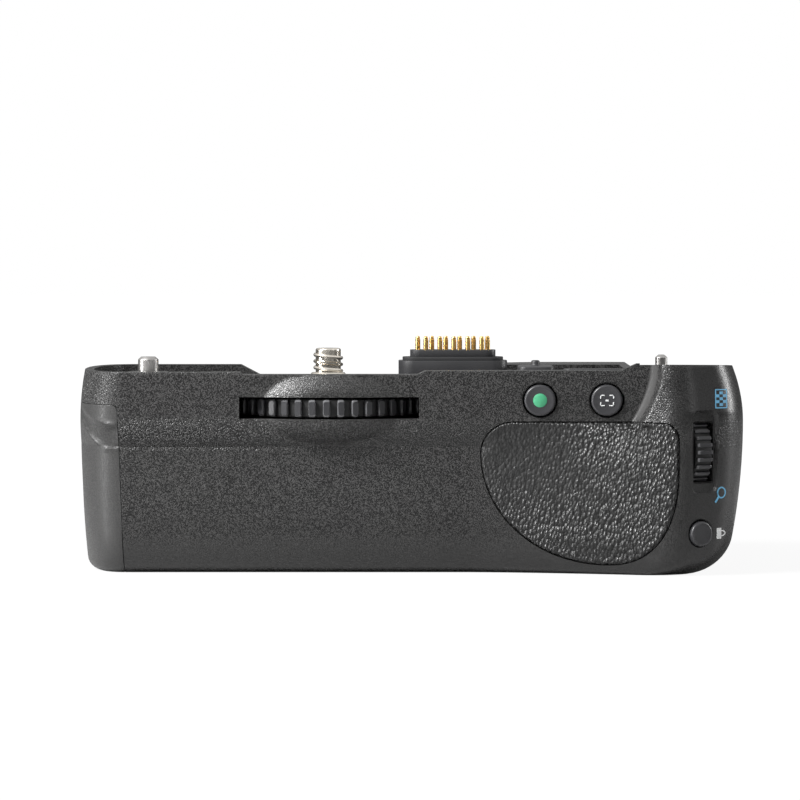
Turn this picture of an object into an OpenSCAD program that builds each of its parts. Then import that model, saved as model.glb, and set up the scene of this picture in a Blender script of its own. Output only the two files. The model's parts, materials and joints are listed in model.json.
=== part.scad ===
// Battery grip that screws under a camera and holds a battery tray, a fastening
// wheel and a second set of controls for holding the camera upright.
// Sizes are in millimetres. X runs to the right as seen from the back, Y runs to
// the front and Z runs up. The origin is the mouth of the tripod socket.

/* [Casing] */
// Left end of the casing, from the screw axis
left_reach = 49.3; // [47:0.1:56]
// Right end of the casing, from the screw axis
right_reach = 81.6; // [80:0.1:92]
// Upper rear wall, from the screw axis
rear_reach = 16.5; // [15.8:0.1:18.5]
// Upper front wall, from the screw axis
front_reach = 31.5; // [31:0.1:38]
// Height of the rim that carries the camera
seat_z = 39.5; // [38.5:0.1:44]
// Height of the lip round the right end, above the rim
lip_h = 1.7; // [0.8:0.1:3]
// Where the lip begins
lip_x = 60.8; // [59:0.1:64]
// Length of the rounded left end
left_round = 10; // [9.2:0.1:12]
// How far the left end leans in at the rim
left_tuck_top = 1.3; // [0.2:0.1:2.5]
// How far the left end leans in at the base
left_tuck_base = 1.5; // [0.2:0.1:2.5]
// How far the right end leans in at the rim
right_tuck_top = 2.4; // [0.5:0.1:3]
// How far the right end leans in at the base
right_tuck_base = 3.6; // [0.5:0.1:4.5]
// Depth at which the two covers meet
part_y = 7; // [6.5:0.1:8]

/* [Ledge] */
// Height at which the rear wall starts to step in
ledge_top_z = 29.6; // [29:0.1:30.2]
// Height of the sloping ledge
ledge_h = 4.7; // [3:0.1:6]
// How far the lower wall steps in
ledge_in = 2; // [1:0.1:2.2]

/* [Rounding at the base] */
// Round under the rear wall
rear_base_round = 8; // [4:0.1:9]
// Round under the thumb rest
thumb_base_round = 3.5; // [2:0.1:5]
// Round under the left end
left_base_round = 2.2; // [1.2:0.1:3]
// Round under the right end
right_base_round = 7; // [4:0.1:8]
// Round under the front
front_base_round = 5; // [3:0.1:7]

/* [Thumb rest] */
// Crest of the thumb rest, from the screw axis
thumb_reach = 22.2; // [20.5:0.1:24]
// Distance from the right end back to the crest
crest_in = 12.3; // [11.5:0.1:13.5]
// Turn of the facet that carries the rear dial, from facing straight back
facet_turn = 31; // [28:0.5:34]
// Depth at which the right end is reached
end_y = -6; // [-8:0.1:-2]
// Height of the steep step beside the buttons
step_out = 2.9; // [1.5:0.1:3.5]
// How far the step leans to the right on its way up
step_lean = 4; // [0:0.1:5]
// Where the thumb rest starts to rise
ramp_x = 27; // [24:0.1:30]
// Thickness of the leathered pads
pad_t = 1.4; // [1:0.1:1.8]
// Left edge of the thumb pad
pad_left = 29.8; // [28.5:0.1:32]
// Distance from the right end back to the right edge of the thumb pad
pad_in = 13.3; // [13.1:0.1:15.6]
// Lowest point of the thumb pad
pad_low = 1.9; // [1.8:0.1:4]

/* [Hand grip] */
// Front of the hand grip, from the screw axis
grip_reach = 45; // [43:0.1:50]
// Where the hand grip starts to rise
grip_x = 20; // [16:0.1:24]
// Length over which the hand grip rises
grip_rise = 24; // [20:0.1:26]
// Length of the shoulder at the right end of the hand grip
shoulder_round = 26; // [24:0.1:28]
// Depth at which the shoulder begins
shoulder_y = 16; // [14:0.1:18]

/* [Fastening wheel] */
// Radius of the wheel
wheel_r = 19.6; // [19:0.1:21]
// Thickness of the wheel
wheel_h = 3.6; // [3:0.1:3.8]
// Height of the middle of the wheel
wheel_z = 32.5; // [32.2:0.1:33]
// Number of ribs round the wheel
wheel_ribs = 43; // [24:1:60]
// Half width of the wheel slot
slot_w = 17.5; // [17:0.1:18.3]
// Half width of the swelling round the wheel
bump_w = 14; // [13:0.1:16.5]
// Half height of the swelling round the wheel
bump_h = 7; // [6:0.1:8]
// How far the swelling stands out
bump_out = 2.2; // [1:0.1:2.4]

/* [Camera screw and locating pins] */
// Radius of the quarter inch camera thread
screw_r = 3.175; // [3.175:0.001:3.2]
// How far the screw stands above the rim
screw_out = 4.2; // [3.5:0.1:5]
// Radius of the lower journal of the screw
journal_r = 2.4; // [1.8:0.1:3]
// Radius of the left locating pin
left_pin_r = 2; // [1.5:0.05:2.2]
// Left locating pin, from the left end of the casing
left_pin_in = 14.4; // [12:0.1:15]
// Radius of the right locating pin
right_pin_r = 1.2; // [1:0.05:1.8]
// Right locating pin, from the screw axis to the right
right_pin_x = 65.9; // [65:0.1:69]
// How far the locating pins stand above the rim
pin_out = 2.9; // [2:0.1:4]

/* [Contact block] */
// Middle of the contact block, from the screw axis
contact_x = 24.7; // [24:0.1:26]
// Depth of the contact block
contact_y = 6; // [4:0.1:8]
// Width of the block's lower flange
contact_w = 21.6; // [20.4:0.1:22]
// Depth of the block's lower flange
contact_d = 9.6; // [9:0.1:11]
// Height of the lower flange above the deck
flange_h = 3.9; // [3:0.1:4.4]
// Thickness of the seal
seal_t = 0.7; // [0.5:0.1:1.2]
// Height of the upper block above the seal
block_h = 1.4; // [1:0.1:2.5]
// Distance between neighbouring contact pins of a row
contact_pitch = 2.78; // [2.6:0.01:2.84]
// Distance between the two rows of pins
row_gap = 2.4; // [2:0.1:3]
// Radius of a contact pin
contact_r = 0.5; // [0.35:0.05:0.6]
// How far the contact pins stand out of the block
contact_out = 2.7; // [1.5:0.1:3]

/* [Battery and tray] */
// Length of the battery pack
pack_l = 56; // [52:0.1:57]
// Width of the battery pack
pack_w = 38.8; // [36:0.1:39.2]
// Height of the battery pack
pack_h = 20; // [18:0.1:20.2]
// Thickness of the tray
tray_t = 1; // [0.8:0.1:1.2]
// Play between tray and chamber on each side
tray_gap = 0.4; // [0.3:0.05:0.5]
// Thickness of the chamber walls
chamber_t = 1; // [0.8:0.1:1.1]
// Thickness of the floor under the chamber
floor_t = 5.2; // [5:0.1:5.3]
// Length of the tray cap at the base
cap_l = 9.7; // [9.3:0.1:10]
// How far the seam of the tray cap leans out on its way up
seam_lean = 1.2; // [0.9:0.1:1.6]
// Height of the tray cap
cap_z = 33.2; // [31:0.1:35.5]

/* [Tray lock] */
// Radius of the lock knob
knob_r = 9.2; // [8.5:0.1:9.6]
// Thickness of the lock knob
knob_t = 3; // [2.6:0.1:3.2]
// Width of the folding lever
lever_w = 5; // [4:0.1:6]
// Length of the folding lever
lever_l = 15; // [12:0.1:15.4]
// Width of the lock tongue
tongue_w = 7; // [6.2:0.1:8]

/* [Push buttons] */
// Radius of the two rear buttons
button_r = 3.05; // [2.5:0.05:3.6]
// First rear button, from the screw axis
button_x = 41.4; // [41:0.1:44]
// Distance between the two rear buttons
button_pitch = 13; // [11:0.1:13.2]
// Height of the two rear buttons
button_z = 34; // [33.6:0.1:34.2]
// How far the buttons stand out
button_out = 0.8; // [0.4:0.1:1.5]
// Travel of the buttons
button_travel = 0.6; // [0.3:0.1:0.8]
// Radius of the lock button
lock_r = 2.45; // [2:0.05:2.8]
// Height of the lock button
lock_z = 8.2; // [8:0.1:9]

/* [Dials] */
// Radius of the two dials
dial_r = 8.5; // [8:0.1:9]
// Thickness of the two dials
dial_w = 3.8; // [3:0.1:4.4]
// Radius of the dial shafts
shaft_r = 1.2; // [0.8:0.05:1.5]
// Height of the dials
dial_z = 24; // [23.5:0.1:25]
// Distance of the rear dial and the lock button from the crest, along the facet
facet_at = 4.8; // [4.2:0.1:5.2]
// Number of ribs round a dial
dial_ribs = 36; // [24:1:48]
// Height of the rear dial's window
window_h = 16.4; // [15:0.1:17]

/* [Shutter button] */
// Radius of the shutter button
shutter_r = 5; // [4:0.1:5.5]
// Radius of the power ring round it
ring_r = 8.4; // [7.8:0.1:9]
// Turn of the shutter button from facing straight right
shutter_turn = 40; // [36:0.5:44]
// Travel of the shutter button
shutter_travel = 1; // [0.5:0.1:1.2]

/* [Fits] */
// Radial play of turning shafts
turn_gap = 0.05; // [0.03:0.01:0.08]
// Play round the buttons
button_gap = 0.25; // [0.2:0.05:0.3]
// Seam between pieces that part
seam = 0.2; // [0.15:0.05:0.3]
// Play beside turning discs
side_gap = 0.3; // [0.25:0.05:0.4]

/* [Hidden] */
$fn = 64;
big = 200;

// Outer form of the casing, as plan outlines stacked up the height
rim_z = seat_z + lip_h;
x_left = -left_reach + left_round;
x_crest = right_reach - crest_in;
x_shoulder = right_reach - shoulder_round;
lower_rear_y = -rear_reach + ledge_in;
lower_front_y = front_reach + ledge_in;
left_pin_x = left_reach - left_pin_in;
pad_right = right_reach - pad_in;
seam_low = left_reach - cap_l;
seam_high = seam_low + seam_lean;
step_w = 2.6;
step_x = x_crest - 10.3;

function clamp01(t) = min(max(t, 0), 1);
function ease(t) = let (u = clamp01(t)) u * u * (3 - 2 * u);
function mix(a, b, t) = a + (b - a) * t;
function fillet_in(z, r) = z >= r ? 0 : r - sqrt(max(0, r * r - (r - z) * (r - z)));
function steps(a, b, n) = [for (i = [0 : n - 1]) mix(a, b, i / n)];
function tuck(z, top, base) =
  let (d = z - ledge_top_z)
  d > 0 ? top * pow(d / (rim_z - ledge_top_z), 2) : base * pow(d / ledge_top_z, 2);
function left_end(z) =
  -left_reach + tuck(z, left_tuck_top, left_tuck_base) + fillet_in(z, left_base_round);
function right_end(z) =
  right_reach - tuck(z, right_tuck_top, right_tuck_base) - fillet_in(z, right_base_round);
function lower_share(z) = pow(clamp01((ledge_top_z - z) / ledge_h), 1.5);
function crest_x(z) = x_crest + (right_end(z) - right_reach) / 2;
step_curve = 1.8;
function step_at(z) =
  step_x + step_lean * (1 - pow(1 - clamp01((z - ledge_top_z) / (rim_z - ledge_top_z)), step_curve));
function ramp(x) = pow(clamp01((x - ramp_x) / (x_crest - ramp_x)), 1.5);
function upper_rear(x, z) =
  -rear_reach - step_out * ease((x - step_at(z)) / step_w)
  - (thumb_reach - rear_reach - step_out)
    * clamp01((x - step_at(z) - step_w / 2) / (x_crest - step_x - step_w));
function lower_rear(x) = mix(lower_rear_y, -thumb_reach, ramp(x));
function bump(x, z) =
  bump_out * pow(max(0, 1 - pow(x / bump_w, 2) - pow((z - wheel_z) / bump_h, 2)), 0.75);
function rear_y(x, z) =
  mix(upper_rear(x, z), lower_rear(x), lower_share(z)) - bump(x, z)
  + fillet_in(z, mix(rear_base_round, thumb_base_round, ramp(x)));
function front_y(x, z) =
  mix(mix(front_reach, lower_front_y, lower_share(z)), grip_reach, ease((x - grip_x) / grip_rise))
  - fillet_in(z, front_base_round);
function arc(cx, cy, ax, ay, a0, a1, n, e = 1) =
  [for (i = [0 : n - 1]) let (a = mix(a0, a1, i / n))
    [cx + ax * sign(cos(a)) * pow(abs(cos(a)), e), cy + ay * sign(sin(a)) * pow(abs(sin(a)), e)]];
function bend(a, b, c, n) =
  [for (i = [0 : n - 1]) let (t = i / n) (1 - t) * (1 - t) * a + 2 * t * (1 - t) * b + t * t * c];
function rear_xs(z) = concat(
  [x_left], steps(-bump_w, bump_w, 6), steps(bump_w, step_at(z), 5),
  steps(step_at(z), step_at(z) + step_w, 3), steps(step_at(z) + step_w, crest_x(z), 2));
function crest(z) = [crest_x(z), rear_y(crest_x(z), z)];
function facet_end(z) = crest(z) + 0.56 * (right_end(z) - crest_x(z)) * [1, tan(facet_turn)];
function facet_corner(z) = crest(z) + (right_end(z) - crest_x(z)) * [1, tan(facet_turn)];
front_xs = concat([x_shoulder], steps(grip_x + grip_rise, grip_x, 7), [grip_x, (grip_x + x_left) / 2]);
function outline(z) =
  let (
    xr = right_end(z), y0 = rear_y(x_left, z), y1 = front_y(x_left, z), yg = front_y(x_shoulder, z))
  concat(
    [for (x = rear_xs(z)) [x, rear_y(x, z)]],
    [crest(z)],
    bend(facet_end(z), facet_corner(z), [xr, end_y], 6),
    [[xr, end_y]],
    arc(x_shoulder, shoulder_y, xr - x_shoulder, yg - shoulder_y, 0, 90, 7, 0.85),
    [for (x = front_xs) [x, front_y(x, z)]],
    arc(x_left, (y0 + y1) / 2, x_left - left_end(z), (y1 - y0) / 2, 90, 270, 10, 0.8));
ledge_low_z = ledge_top_z - ledge_h;
form_z = rim_z + 1;
levels = concat(
  [for (i = [0 : 3]) rear_base_round * (1 - cos(22.5 * i))],
  [rear_base_round, (rear_base_round + ledge_low_z) / 2, ledge_low_z, ledge_top_z - ledge_h / 2],
  [ledge_top_z, wheel_z, mix(wheel_z, rim_z, 0.45), form_z]);

module body_form() {
  rings = [for (z = levels) [for (p = outline(z)) [p[0], p[1], z]]];
  n = len(rings[0]);
  m = len(rings);
  mid = [x_shoulder / 2, part_y];
  polyhedron(
    points = concat([for (r = rings) each r], [[mid[0], mid[1], 0], [mid[0], mid[1], form_z]]),
    faces = concat(
      [for (i = [0 : n - 1]) [n * m, i, (i + 1) % n]],
      [for (i = [0 : n - 1]) [n * m + 1, (m - 1) * n + (i + 1) % n, (m - 1) * n + i]],
      [for (k = [0 : m - 2], i = [0 : n - 1])
        let (a = k * n + i, b = k * n + (i + 1) % n)
        each [[a, a + n, b], [b, a + n, b + n]]]));
}

function rounded(w, d, r, n = 5) =
  [for (c = [[1, 1, 0], [-1, 1, 90], [-1, -1, 180], [1, -1, 270]], i = [0 : n])
    [c[0] * (w / 2 - r) + r * cos(c[2] + 90 * i / n), c[1] * (d / 2 - r) + r * sin(c[2] + 90 * i / n)]];
module slab(w, d, h, r) {
  linear_extrude(h) polygon(rounded(w, d, r));
}
module box(x0, x1, y0, y1, z0, z1) {
  translate([x0, y0, z0]) cube([x1 - x0, y1 - y0, z1 - z0]);
}

// Heights and depths of the battery chamber and of what stands above it
tray_y = (lower_rear_y + lower_front_y) / 2;
chamber_z0 = floor_t;
tray_z0 = floor_t + chamber_t + tray_gap;
pack_z0 = tray_z0 + tray_t;
chamber_in_z1 = pack_z0 + pack_h + tray_gap;
chamber_z1 = chamber_in_z1 + chamber_t;
tray_half = pack_w / 2 + tray_gap / 2 + tray_t;
chamber_half = tray_half + tray_gap;
lock_axis_z = (chamber_z0 + chamber_t + chamber_in_z1) / 2;
tongue_x = -seam_low + 0.35;
tongue_t = 1.6;
bulkhead_x = tongue_x + tongue_t + 0.7;
pack_x0 = bulkhead_x + tray_t + tray_gap / 2;
pack_x1 = pack_x0 + pack_l;
tray_x1 = pack_x1 + tray_gap / 2 + tray_t;
chamber_x1 = tray_x1 + tray_gap;
deck_in = 2.3;
deck_z = seat_z - deck_in;
deck_t = 1.8;
deck_z0 = deck_z - deck_t;
cavity_x0 = -wheel_r - 4;
cavity_x1 = lip_x - 2;
cavity_y0 = -rear_reach + 3.2;
cavity_y1 = front_reach - 4;
bay_x0 = chamber_x1 + chamber_t + 2;
bay_z0 = floor_t + 2.8;
channel_x0 = -slot_w + 0.6;
channel_x1 = slot_w + 0.1;
channel_in = 0.45;
channel_slant = 1.9;
slot_shift = 0.4;
left_rim = 1.8;
plate_x0 = -34;
plate_x1 = 46;
plate_y0 = -5;
plate_y1 = 25;
plate_t = 2.4;
boss_r = 6.6;
boss_gap = 0.05;
socket_r = 5;

// Everything left of the seam and below the top of the tray cap
module cap_region(gap) {
  lean = (seam_high - seam_low) / cap_z;
  translate([0, big / 2, 0]) rotate([90, 0, 0]) linear_extrude(big)
    polygon([
      [-big, -10], [-seam_low + 10 * lean - gap, -10],
      [-seam_high - gap, cap_z - gap], [-big, cap_z - gap]]);
}

// Outline of the thumb pad, seen from the back
pad_top = ledge_top_z + 0.3;
pad_turn_x = mix(pad_left, pad_right, 0.634);
pad_left_z = pad_top - 6.2;
pad_right_z = pad_top - 9;
module thumb_pad_prism(grow) {
  rotate([90, 0, 0]) linear_extrude(big) polygon(concat(
    arc(pad_right - 3.4, pad_top - 3.4, 3.4 + grow, 3.4 + grow, 0, 90, 4),
    arc(pad_left + 6.4, pad_left_z, 6.4 + grow, pad_top - pad_left_z + grow, 90, 180, 5),
    arc(pad_turn_x, pad_left_z, pad_turn_x - pad_left + grow, pad_left_z - pad_low + grow, 180, 270, 8),
    arc(pad_turn_x, pad_right_z, pad_right - pad_turn_x + grow, pad_right_z - pad_low + grow,
      270, 360, 7, 0.85)));
}
module grip_pad_prism(grow) {
  x0 = grip_x + grip_rise * 0.45 - grow;
  x1 = x_shoulder - 3.4 + grow;
  translate([(x0 + x1) / 2, 0, (ledge_top_z + front_base_round + 6) / 2]) rotate([-90, 0, 0])
    linear_extrude(big) polygon(rounded(x1 - x0, ledge_top_z - front_base_round + 2 * grow, 5));
}

// Placing helpers for the slanted controls
dial_dir = [sin(facet_turn), -cos(facet_turn), 0];
function on_facet(z) = concat(crest(z) + facet_at * [cos(facet_turn), sin(facet_turn)], [z]);
dial_mid = on_facet(dial_z) - (dial_r - 0.3) * dial_dir;
module at_dial() {
  translate(dial_mid) rotate([0, 0, facet_turn]) children();
}
module at_lock() {
  translate(on_facet(lock_z)) rotate([0, 0, facet_turn]) rotate([90, 0, 0]) children();
}
shutter_dir = [cos(shutter_turn), sin(shutter_turn), 0];
shutter_spot = pow(cos(shutter_turn + 3), 0.85);
shutter_side = pow(sin(shutter_turn + 3), 0.85);
shutter_skin = [
  x_shoulder + (right_end(dial_z) - x_shoulder) * shutter_spot,
  shoulder_y + (grip_reach - shoulder_y) * shutter_side, dial_z];
module at_shutter() {
  translate(shutter_skin) rotate([0, 0, shutter_turn]) rotate([0, 90, 0]) children();
}
front_dial_x = x_shoulder + 2.4;
front_dial_mid = [front_dial_x, grip_reach + 0.7 - dial_r, dial_z];
module at_front_dial() {
  translate(front_dial_mid) children();
}
module dial_x() {
  rotate([0, 90, 0]) translate([0, 0, -dial_w / 2])
    linear_extrude(dial_w) polygon(ribbed(dial_r, dial_ribs, 0.5));
}
module disc_x(r, w) {
  rotate([0, 90, 0]) translate([0, 0, -w / 2]) cylinder(r = r, h = w);
}
shaft_end = 4;
shaft_l = dial_w + 2 * shaft_end;
spot_in = 2.2;
shutter_bore = 8;
lock_bore = 8;

// Inner edge of the lip round the right end, which falls towards the front
lip_t = 2.2;
lip_fall = 2.45;
lip_hub = [lip_x - 3, part_y];
lip_run = [for (p = outline(rim_z)) if (p[0] > lip_x + 2.4) p + lip_t * (lip_hub - p) / norm(lip_hub - p)];
lip_inside = concat(
  [[lip_x - 2, lip_run[0][1]]], lip_run, [[lip_x - 2, lip_run[len(lip_run) - 1][1]]]);

// Recess in the top of the left end, inside a thin rim and round the boss of the left pin
hollow_y0 = -rear_reach + left_rim;
left_inside = concat(
  [[cavity_x0 + 1, cavity_y1]],
  arc(x_left, (cavity_y1 + hollow_y0) / 2, x_left - left_end(seat_z) - left_rim,
    (cavity_y1 - hollow_y0) / 2, 90, 270, 10, 0.8),
  [[x_left, hollow_y0], [cavity_x0 + 1, hollow_y0]]);
left_pin_y = -rear_reach + 3.6;
pin_boss = 2;

// What is cut from both covers
module inner_space() {
  cap_region(0);
  difference() {
    translate([0, 0, deck_z]) linear_extrude(big) polygon(left_inside);
    translate([-left_pin_x, left_pin_y, 0]) cylinder(r = left_pin_r + pin_boss, h = seat_z);
  }
  box(-big, lip_x, -big, big, seat_z, big);
  intersection() {
    box(lip_x - 1, big, -big, big, seat_z, big);
    linear_extrude(big) polygon(lip_inside);
  }
  translate([lip_x, -thumb_reach, rim_z]) rotate([-lip_fall, 0, 0]) translate([0, -big, 0]) cube(2 * big);
  box(-left_reach, chamber_x1 + chamber_t,
    tray_y - chamber_half - chamber_t, tray_y + chamber_half + chamber_t,
    chamber_z0, chamber_z1);
  box(cavity_x0, cavity_x1, cavity_y0, cavity_y1, chamber_z1, big);
  box(bay_x0, cavity_x1, cavity_y0 + 3, cavity_y1 - 3, bay_z0, chamber_z1 + 1);
  box(plate_x0, plate_x1, plate_y0, plate_y1, -1, plate_t);
  translate([0, 0, -1]) cylinder(r = boss_r + boss_gap, h = floor_t + 2);
  box(chamber_x1, bay_x0 + 1, tray_y - blade_span, tray_y + blade_span, pack_z0 + 2, pack_z0 + blade_span);
}

module rear_cover() color("#3c3d40") difference() {
  intersection() {
    body_form();
    box(-big, big, -big, part_y, -1, rim_z);
  }
  inner_space();
  box(channel_x0, channel_x1, -big, cavity_y0 + 1, seat_z - channel_in, big);
  box(slot_shift - slot_w, slot_shift + slot_w, -big, cavity_y0 + 1,
    wheel_z - wheel_h / 2 - side_gap, wheel_z + wheel_h / 2 + side_gap);
  for (x = [button_x, button_x + button_pitch]) translate([x, 0, button_z]) rotate([90, 0, 0]) {
    translate([0, 0, -button_stop]) cylinder(r = button_r + button_gap, h = big);
    translate([0, 0, -cavity_y0 - 1]) cylinder(r = stem_r + button_gap, h = big);
  }
  at_dial() {
    disc_x(dial_r + 0.6, dial_w + 2 * side_gap);
    disc_x(shaft_r + turn_gap, shaft_l + 2 * side_gap);
    translate([-dial_w / 2 - 0.9, 0.3 - dial_r, 0]) rotate([90, 0, 90]) linear_extrude(dial_w + 1.8)
      polygon([
        [-3, -window_h / 2 - 2], [2.4, 2.4 - window_h / 2],
        [2.4, window_h / 2 - 2.4], [-3, window_h / 2 + 2]]);
  }
  at_lock() translate([0, 0, -lock_bore]) cylinder(r = lock_r + button_gap, h = big);
  difference() {
    thumb_pad_prism(0);
    translate([0, pad_t, 0]) body_form();
  }
  translate([-left_pin_x, left_pin_y, seat_z - pin_root]) cylinder(r = left_pin_r + pin_step, h = big);
  translate([right_pin_x, 0, seat_z - pin_root]) cylinder(r = right_pin_r + pin_step, h = big);
}

module front_cover() color("#3c3d40") difference() {
  intersection() {
    body_form();
    box(-big, big, part_y, big, -1, rim_z);
  }
  inner_space();
  at_front_dial() {
    disc_x(dial_r + 0.6, dial_w + 2 * side_gap);
    disc_x(shaft_r + turn_gap, shaft_l + 2 * side_gap);
  }
  translate([0, big, 0]) rotate([90, 0, 0]) linear_extrude(big - cavity_y1 + 1)
    polygon([
      [channel_x0 + 3, deck_z], [channel_x1, deck_z], [channel_x1, seat_z + 1],
      [channel_x0 + 3 - channel_slant * (deck_in + 1), seat_z + 1]]);
  at_shutter() {
    translate([0, 0, -spot_in]) cylinder(r = ring_r + side_gap, h = big);
    translate([0, 0, -shutter_bore]) cylinder(r = shutter_r + button_gap, h = big);
  }
  difference() {
    grip_pad_prism(0);
    translate([0, -pad_t, 0]) body_form();
  }
}

module base_plate() color("#2f3033") difference() {
  union() {
    box(plate_x0, plate_x1, plate_y0, plate_y1, 0, plate_t);
    cylinder(r = boss_r, h = floor_t);
  }
  translate([0, 0, -1]) cylinder(r = socket_r, h = floor_t + 2);
}

module tripod_socket() color("#b9b9bd") difference() {
  cylinder(r = socket_r, h = floor_t);
  translate([0, 0, -1]) cylinder(r = screw_r, h = floor_t + 2);
}

rest_w = 12;
rest_d = 3;
module top_plate() color("#2b2c2f") difference() {
  union() {
    box(cavity_x0, cavity_x1, cavity_y0, cavity_y1, deck_z0, deck_z);
    translate([cavity_x1 - rest_w / 2 - 0.6, cavity_y0 + 5, deck_z])
      slab(rest_w, rest_d, deck_in + 0.4, rest_d / 2 - 0.1);
  }
  translate([0, 0, deck_z0 - 1]) cylinder(r = bush_r, h = deck_t + 2);
  translate([contact_x, contact_y, deck_z0 - 1])
    slab(contact_w - 2 * root_in, contact_d - 2 * root_in, deck_t + 2, 1);
}

// Contact blades of the chamber and the terminals of the pack that meet them
terminal_t = 0.4;
terminal_w = 3;
terminal_h = 3.6;
terminal_up = 2.6;
blade_pitch = 6;
blade_span = 1.5 * blade_pitch;
blade_w = 2.4;
blade_h = 0.9;
blade_up = 4;
blade_tail = 4;
module battery_chamber() color("#1f2022") difference() {
  box(-left_reach, chamber_x1 + chamber_t,
    tray_y - chamber_half - chamber_t, tray_y + chamber_half + chamber_t,
    chamber_z0, chamber_z1);
  box(-big, chamber_x1, tray_y - chamber_half, tray_y + chamber_half,
    chamber_z0 + chamber_t, chamber_in_z1);
  cap_region(0);
  box(tongue_x - 0.4, tongue_x + tongue_t + 0.4, tray_y - 8.5, tray_y + 8.5, chamber_z0 - 1, big);
  translate([chamber_x1 - 1, tray_y - blade_span, pack_z0 + blade_up])
    cube([chamber_t + 2, 2 * blade_span, blade_h + 0.5]);
}

module chamber_contacts() color("#d8b25a") for (i = [-1 : 1])
  translate([chamber_x1 + chamber_t, tray_y + blade_pitch * i - blade_w / 2, pack_z0 + blade_up]) {
    translate([0, 0, -blade_tail / 2 + blade_h]) cube([terminal_t, blade_w, blade_tail]);
    translate([pack_x1 + terminal_t + seam - chamber_x1 - chamber_t, 0, seam])
      cube([chamber_x1 + chamber_t - pack_x1 - terminal_t - seam, blade_w, blade_h]);
  }

module thumb_pad() color("#232426") difference() {
  intersection() {
    body_form();
    thumb_pad_prism(-seam);
  }
  translate([0, pad_t, 0]) body_form();
}

module grip_pad() color("#232426") difference() {
  intersection() {
    body_form();
    grip_pad_prism(-seam);
  }
  translate([0, -pad_t, 0]) body_form();
}

// Locating pins, turned with a wider root that is pressed into the cover
pin_root = 6;
pin_step = 0.3;
pin_nose = 0.5;
module pin(r) rotate_extrude() polygon([
  [0, seat_z - pin_root], [r + pin_step, seat_z - pin_root], [r + pin_step, seat_z], [r, seat_z],
  [r, seat_z + pin_out - pin_nose], [r - pin_nose, seat_z + pin_out], [0, seat_z + pin_out]]);
module left_pin() color("#c9c9cc") translate([-left_pin_x, left_pin_y, 0]) pin(left_pin_r);
module right_pin() color("#c9c9cc") translate([right_pin_x, 0, 0]) pin(right_pin_r);

// Fastening wheel with its screw, bearing and bush
wheel_z0 = wheel_z - wheel_h / 2;
wheel_z1 = wheel_z + wheel_h / 2;
neck_r = screw_r + 0.25;
bush_wall = 2.4;
bush_r = neck_r + bush_wall;
bearing_r = 6.5;
module wheel_bearing() color("#8a8b8f") difference() {
  translate([0, 0, chamber_z1]) cylinder(r = bearing_r, h = wheel_z0 - seam - chamber_z1);
  translate([0, 0, chamber_z1 - 1]) cylinder(r = journal_r + turn_gap, h = big);
}
module screw_bush() color("#8a8b8f") difference() {
  union() {
    translate([0, 0, deck_z0]) cylinder(r = bush_r, h = deck_t);
    translate([0, 0, wheel_z1 + seam]) cylinder(r = bush_r + 1.6, h = deck_z0 - wheel_z1 - seam);
  }
  translate([0, 0, wheel_z1 - 1]) cylinder(r = neck_r + turn_gap, h = big);
}
// Rim of a ribbed disc, with a flat on each rib and a groove between
function ribbed(r, n, depth) =
  [for (i = [0 : n - 1], k = [[0, 0], [0.44, 0], [0.54, 1], [0.9, 1]])
    let (a = 360 * (i + k[0]) / n) (r - depth * k[1]) * [cos(a), sin(a)]];
module thumbwheel() color("#1b1b1d") difference() {
  translate([0, 0, wheel_z0]) linear_extrude(wheel_h) polygon(ribbed(wheel_r, wheel_ribs, 1));
  translate([0, 0, wheel_z0 - 1]) cylinder(r = neck_r, h = wheel_h + 2);
}
module camera_screw() color("#c9c6c0") {
  translate([0, 0, chamber_z1 + 0.2]) cylinder(r = journal_r, h = wheel_z0 - chamber_z1 - 0.2);
  translate([0, 0, wheel_z0]) cylinder(r = neck_r, h = seat_z - 0.6 - wheel_z0);
  translate([0, 0, seat_z - 0.6]) cylinder(r = screw_r, h = screw_out);
  translate([0, 0, seat_z - 0.6 + screw_out]) cylinder(r1 = screw_r, r2 = screw_r - 0.6, h = 0.6);
}

// Contact block with two staggered rows of pins
flange_z1 = deck_z + flange_h;
seal_z1 = flange_z1 + seal_t;
block_z1 = seal_z1 + block_h;
seal_in = 0.8;
block_in = 2.3;
root_in = 1.5;
row_shift = 0.2;
contact_spots = concat(
  [for (i = [0 : 5]) [(i - 2.5) * contact_pitch, row_gap / 2]],
  [for (i = [0 : 4]) [(i - 2) * contact_pitch + row_shift, -row_gap / 2]]);
module contact_bores(z0) {
  for (p = contact_spots)
    translate([p[0], p[1], z0]) cylinder(r = contact_r + 0.15, h = big, $fn = 24);
}
module contact_base() color("#26272a") translate([contact_x, contact_y, 0]) difference() {
  union() {
    translate([0, 0, deck_z]) slab(contact_w, contact_d, flange_h, 3);
    translate([0, 0, deck_z0 - 1]) slab(contact_w - 2 * root_in, contact_d - 2 * root_in, deck_t + 1, 1);
  }
  contact_bores(deck_z0);
}
module contact_seal() color("#151517") translate([contact_x, contact_y, flange_z1]) difference() {
  slab(contact_w - 2 * seal_in, contact_d - 2 * seal_in, seal_t, 2.6);
  contact_bores(-1);
}
module contact_block() color("#2e2f32") translate([contact_x, contact_y, seal_z1]) difference() {
  slab(contact_w - 2 * block_in, contact_d - 2 * block_in + 1, block_h, 2);
  contact_bores(-1);
}
contact_travel = 0.8;
module contact_pins() color("#e0b352") translate([contact_x, contact_y, 0]) for (p = contact_spots)
  translate([p[0], p[1], deck_z0 + contact_travel + 0.3]) {
    cylinder(r = contact_r, h = block_z1 + contact_out - 0.3 - deck_z0 - contact_travel - 0.3, $fn = 24);
    translate([0, 0, block_z1 + contact_out - 0.3 - deck_z0 - contact_travel - 0.3])
      cylinder(r1 = contact_r, r2 = contact_r - 0.25, h = 0.3, $fn = 24);
  }
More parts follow.
